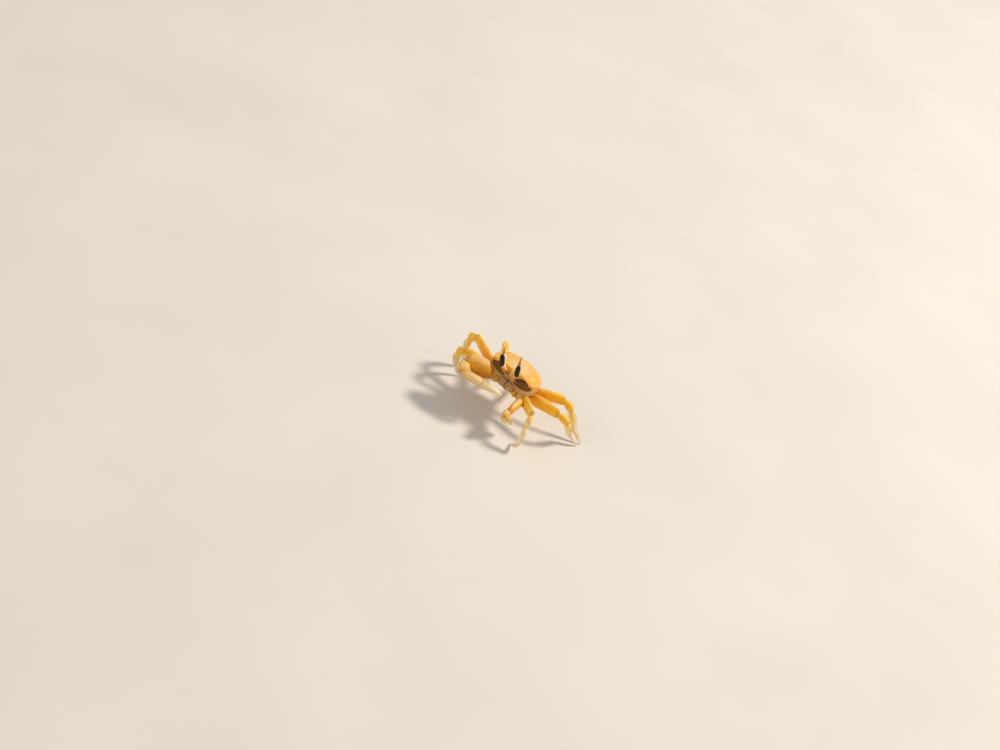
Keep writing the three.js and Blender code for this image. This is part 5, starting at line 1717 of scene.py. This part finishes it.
class GHOSTCRAB_OT_bristles(bpy.types.Operator):
    """Sets the fringes of bristles on the legs and mouthparts"""
    bl_idname = "ghostcrab.bristles"
    bl_label = "Bristles"

    def execute(self, context):
        density = context.scene.ghostcrab_sizes.bristle_density
        for side in (1, -1):
            finish_piece(leg_bristles(side, density), finish_of(chitin_bristle), angle=180)
        finish_piece(mouth_bristles(density), finish_of(chitin_bristle), angle=180)
        return {"FINISHED"}


# ---------------------------------------------------------------- stage
CAMERA_PLACE = (0.28637, -1.01348, 0.826375)
CAMERA_RIGHT = (0.8168, 0.49031, 0.30401)
CAMERA_FORWARD = (-0.23147, 0.76122, -0.60578)
SUN_SIDE = (0.46, 0.42, 0.78)


def soft_light(name, way, distance, size, power, colour):
    """Area light that looks at the crab from a direction."""
    data = bpy.data.lights.new(name, "AREA")
    data.shape = "DISK"
    data.size = size
    data.energy = power
    data.color = linear(colour)
    light = bpy.data.objects.new(name, data)
    target = Vector((0, 0, 0.03))
    light.location = target + Vector(way).normalized() * distance
    light.rotation_euler = (target - light.location).to_track_quat("-Z", "Y").to_euler()
    bpy.context.scene.collection.objects.link(light)


class GHOSTCRAB_OT_stage(bpy.types.Operator):
    """Sets the floor, the soft lights and the camera"""
    bl_idname = "ghostcrab.stage"
    bl_label = "Stage"

    def execute(self, context):
        scene = context.scene
        clear_selection()
        bpy.ops.mesh.primitive_grid_add(x_subdivisions=4, y_subdivisions=4, size=8)
        floor = bpy.context.object
        floor.name = floor.data.name = "studio_floor"
        floor.data.materials.append(studio_paper())
        soft_light("Key", SUN_SIDE, 3.2, 0.6, 84, "#fff4e4")
        soft_light("Fill", (-0.5, -0.8, 0.55), 3.0, 2.0, 13, "#f6f4f8")
        world = bpy.data.worlds.new("Studio")
        world.use_nodes = True
        world.node_tree.nodes["Background"].inputs["Color"].default_value = rgba("#f4f2ee")
        world.node_tree.nodes["Background"].inputs["Strength"].default_value = 0.54
        scene.world = world
        scene.view_settings.view_transform = "Standard"
        data = bpy.data.cameras.new("Camera")
        data.lens = 60
        data.sensor_width = 36
        data.clip_start, data.clip_end = 0.01, 50
        camera = bpy.data.objects.new("Camera", data)
        right, forward = Vector(CAMERA_RIGHT).normalized(), Vector(CAMERA_FORWARD).normalized()
        up = right.cross(forward)
        turned = Matrix((right, up, -forward)).transposed().to_4x4()
        camera.matrix_world = Matrix.Translation(CAMERA_PLACE) @ turned
        scene.collection.objects.link(camera)
        scene.camera = camera
        return {"FINISHED"}


# ---------------------------------------------------------------- add-on
class GhostCrabSizes(bpy.types.PropertyGroup):
    """Sizes and amounts that a user would change, each against its usual value"""
    thorn_height: FloatProperty(
        name="Thorn height", description="Height of the thorns against their usual height",
        default=1.0, min=0.3, max=2.0, subtype="FACTOR")
    granule_size: FloatProperty(
        name="Granule size", description="Size of the carapace granules against their usual size",
        default=1.0, min=0.3, max=2.0, subtype="FACTOR")
    bristle_density: FloatProperty(
        name="Bristle density", description="Number of bristles against the usual number",
        default=1.0, min=0.1, max=3.0, subtype="FACTOR")


class GhostCrabColours(bpy.types.PropertyGroup):
    """Ground colours that a user would change"""
    shell: FloatVectorProperty(
        name="Shell", description="Ground colour of the carapace",
        default=linear("#eab440"), min=0.0, max=1.0, subtype="COLOR")
    breastplate: FloatVectorProperty(
        name="Breastplate", description="Ground colour of the breastplate and the tail flap",
        default=linear("#e6c48c"), min=0.0, max=1.0, subtype="COLOR")
    mouthparts: FloatVectorProperty(
        name="Mouthparts", description="Ground colour of the mouth's covers and the feelers",
        default=linear("#cfa06a"), min=0.0, max=1.0, subtype="COLOR")
    eyestalks: FloatVectorProperty(
        name="Eyestalks", description="Colour of the column behind each cornea",
        default=linear("#f2e2b8"), min=0.0, max=1.0, subtype="COLOR")


class GHOSTCRAB_PT_panel(bpy.types.Panel):
    """Sidebar panel with the crab's sizes and its pieces"""
    bl_label = "Ghost crab"
    bl_idname = "GHOSTCRAB_PT_panel"
    bl_space_type = "VIEW_3D"
    bl_region_type = "UI"
    bl_category = "Ghost crab"

    def draw(self, context):
        scene = context.scene
        for group in (scene.ghostcrab_sizes, scene.ghostcrab_colours):
            for name in type(group).__annotations__:
                self.layout.prop(group, name)
        for operator in OPERATORS:
            self.layout.operator(operator.bl_idname)


OPERATORS = (GHOSTCRAB_OT_carapace, GHOSTCRAB_OT_underside, GHOSTCRAB_OT_mouthparts, GHOSTCRAB_OT_eyes,
             GHOSTCRAB_OT_legs, GHOSTCRAB_OT_claws, GHOSTCRAB_OT_bristles, GHOSTCRAB_OT_stage)
CLASSES = (GhostCrabSizes, GhostCrabColours, *OPERATORS, GHOSTCRAB_PT_panel)


def register():
    for cls in CLASSES:
        bpy.utils.register_class(cls)
    bpy.types.Scene.ghostcrab_sizes = PointerProperty(type=GhostCrabSizes)
    bpy.types.Scene.ghostcrab_colours = PointerProperty(type=GhostCrabColours)


def unregister():
    del bpy.types.Scene.ghostcrab_colours
    del bpy.types.Scene.ghostcrab_sizes
    for cls in reversed(CLASSES):
        bpy.utils.unregister_class(cls)


def main():
    register()
    bpy.ops.ghostcrab.carapace()
    bpy.ops.ghostcrab.underside()
    bpy.ops.ghostcrab.mouthparts()
    bpy.ops.ghostcrab.eyes()
    bpy.ops.ghostcrab.legs()
    bpy.ops.ghostcrab.claws()
    bpy.ops.ghostcrab.bristles()
    bpy.ops.ghostcrab.stage()


if __name__ == "__main__":
    main()
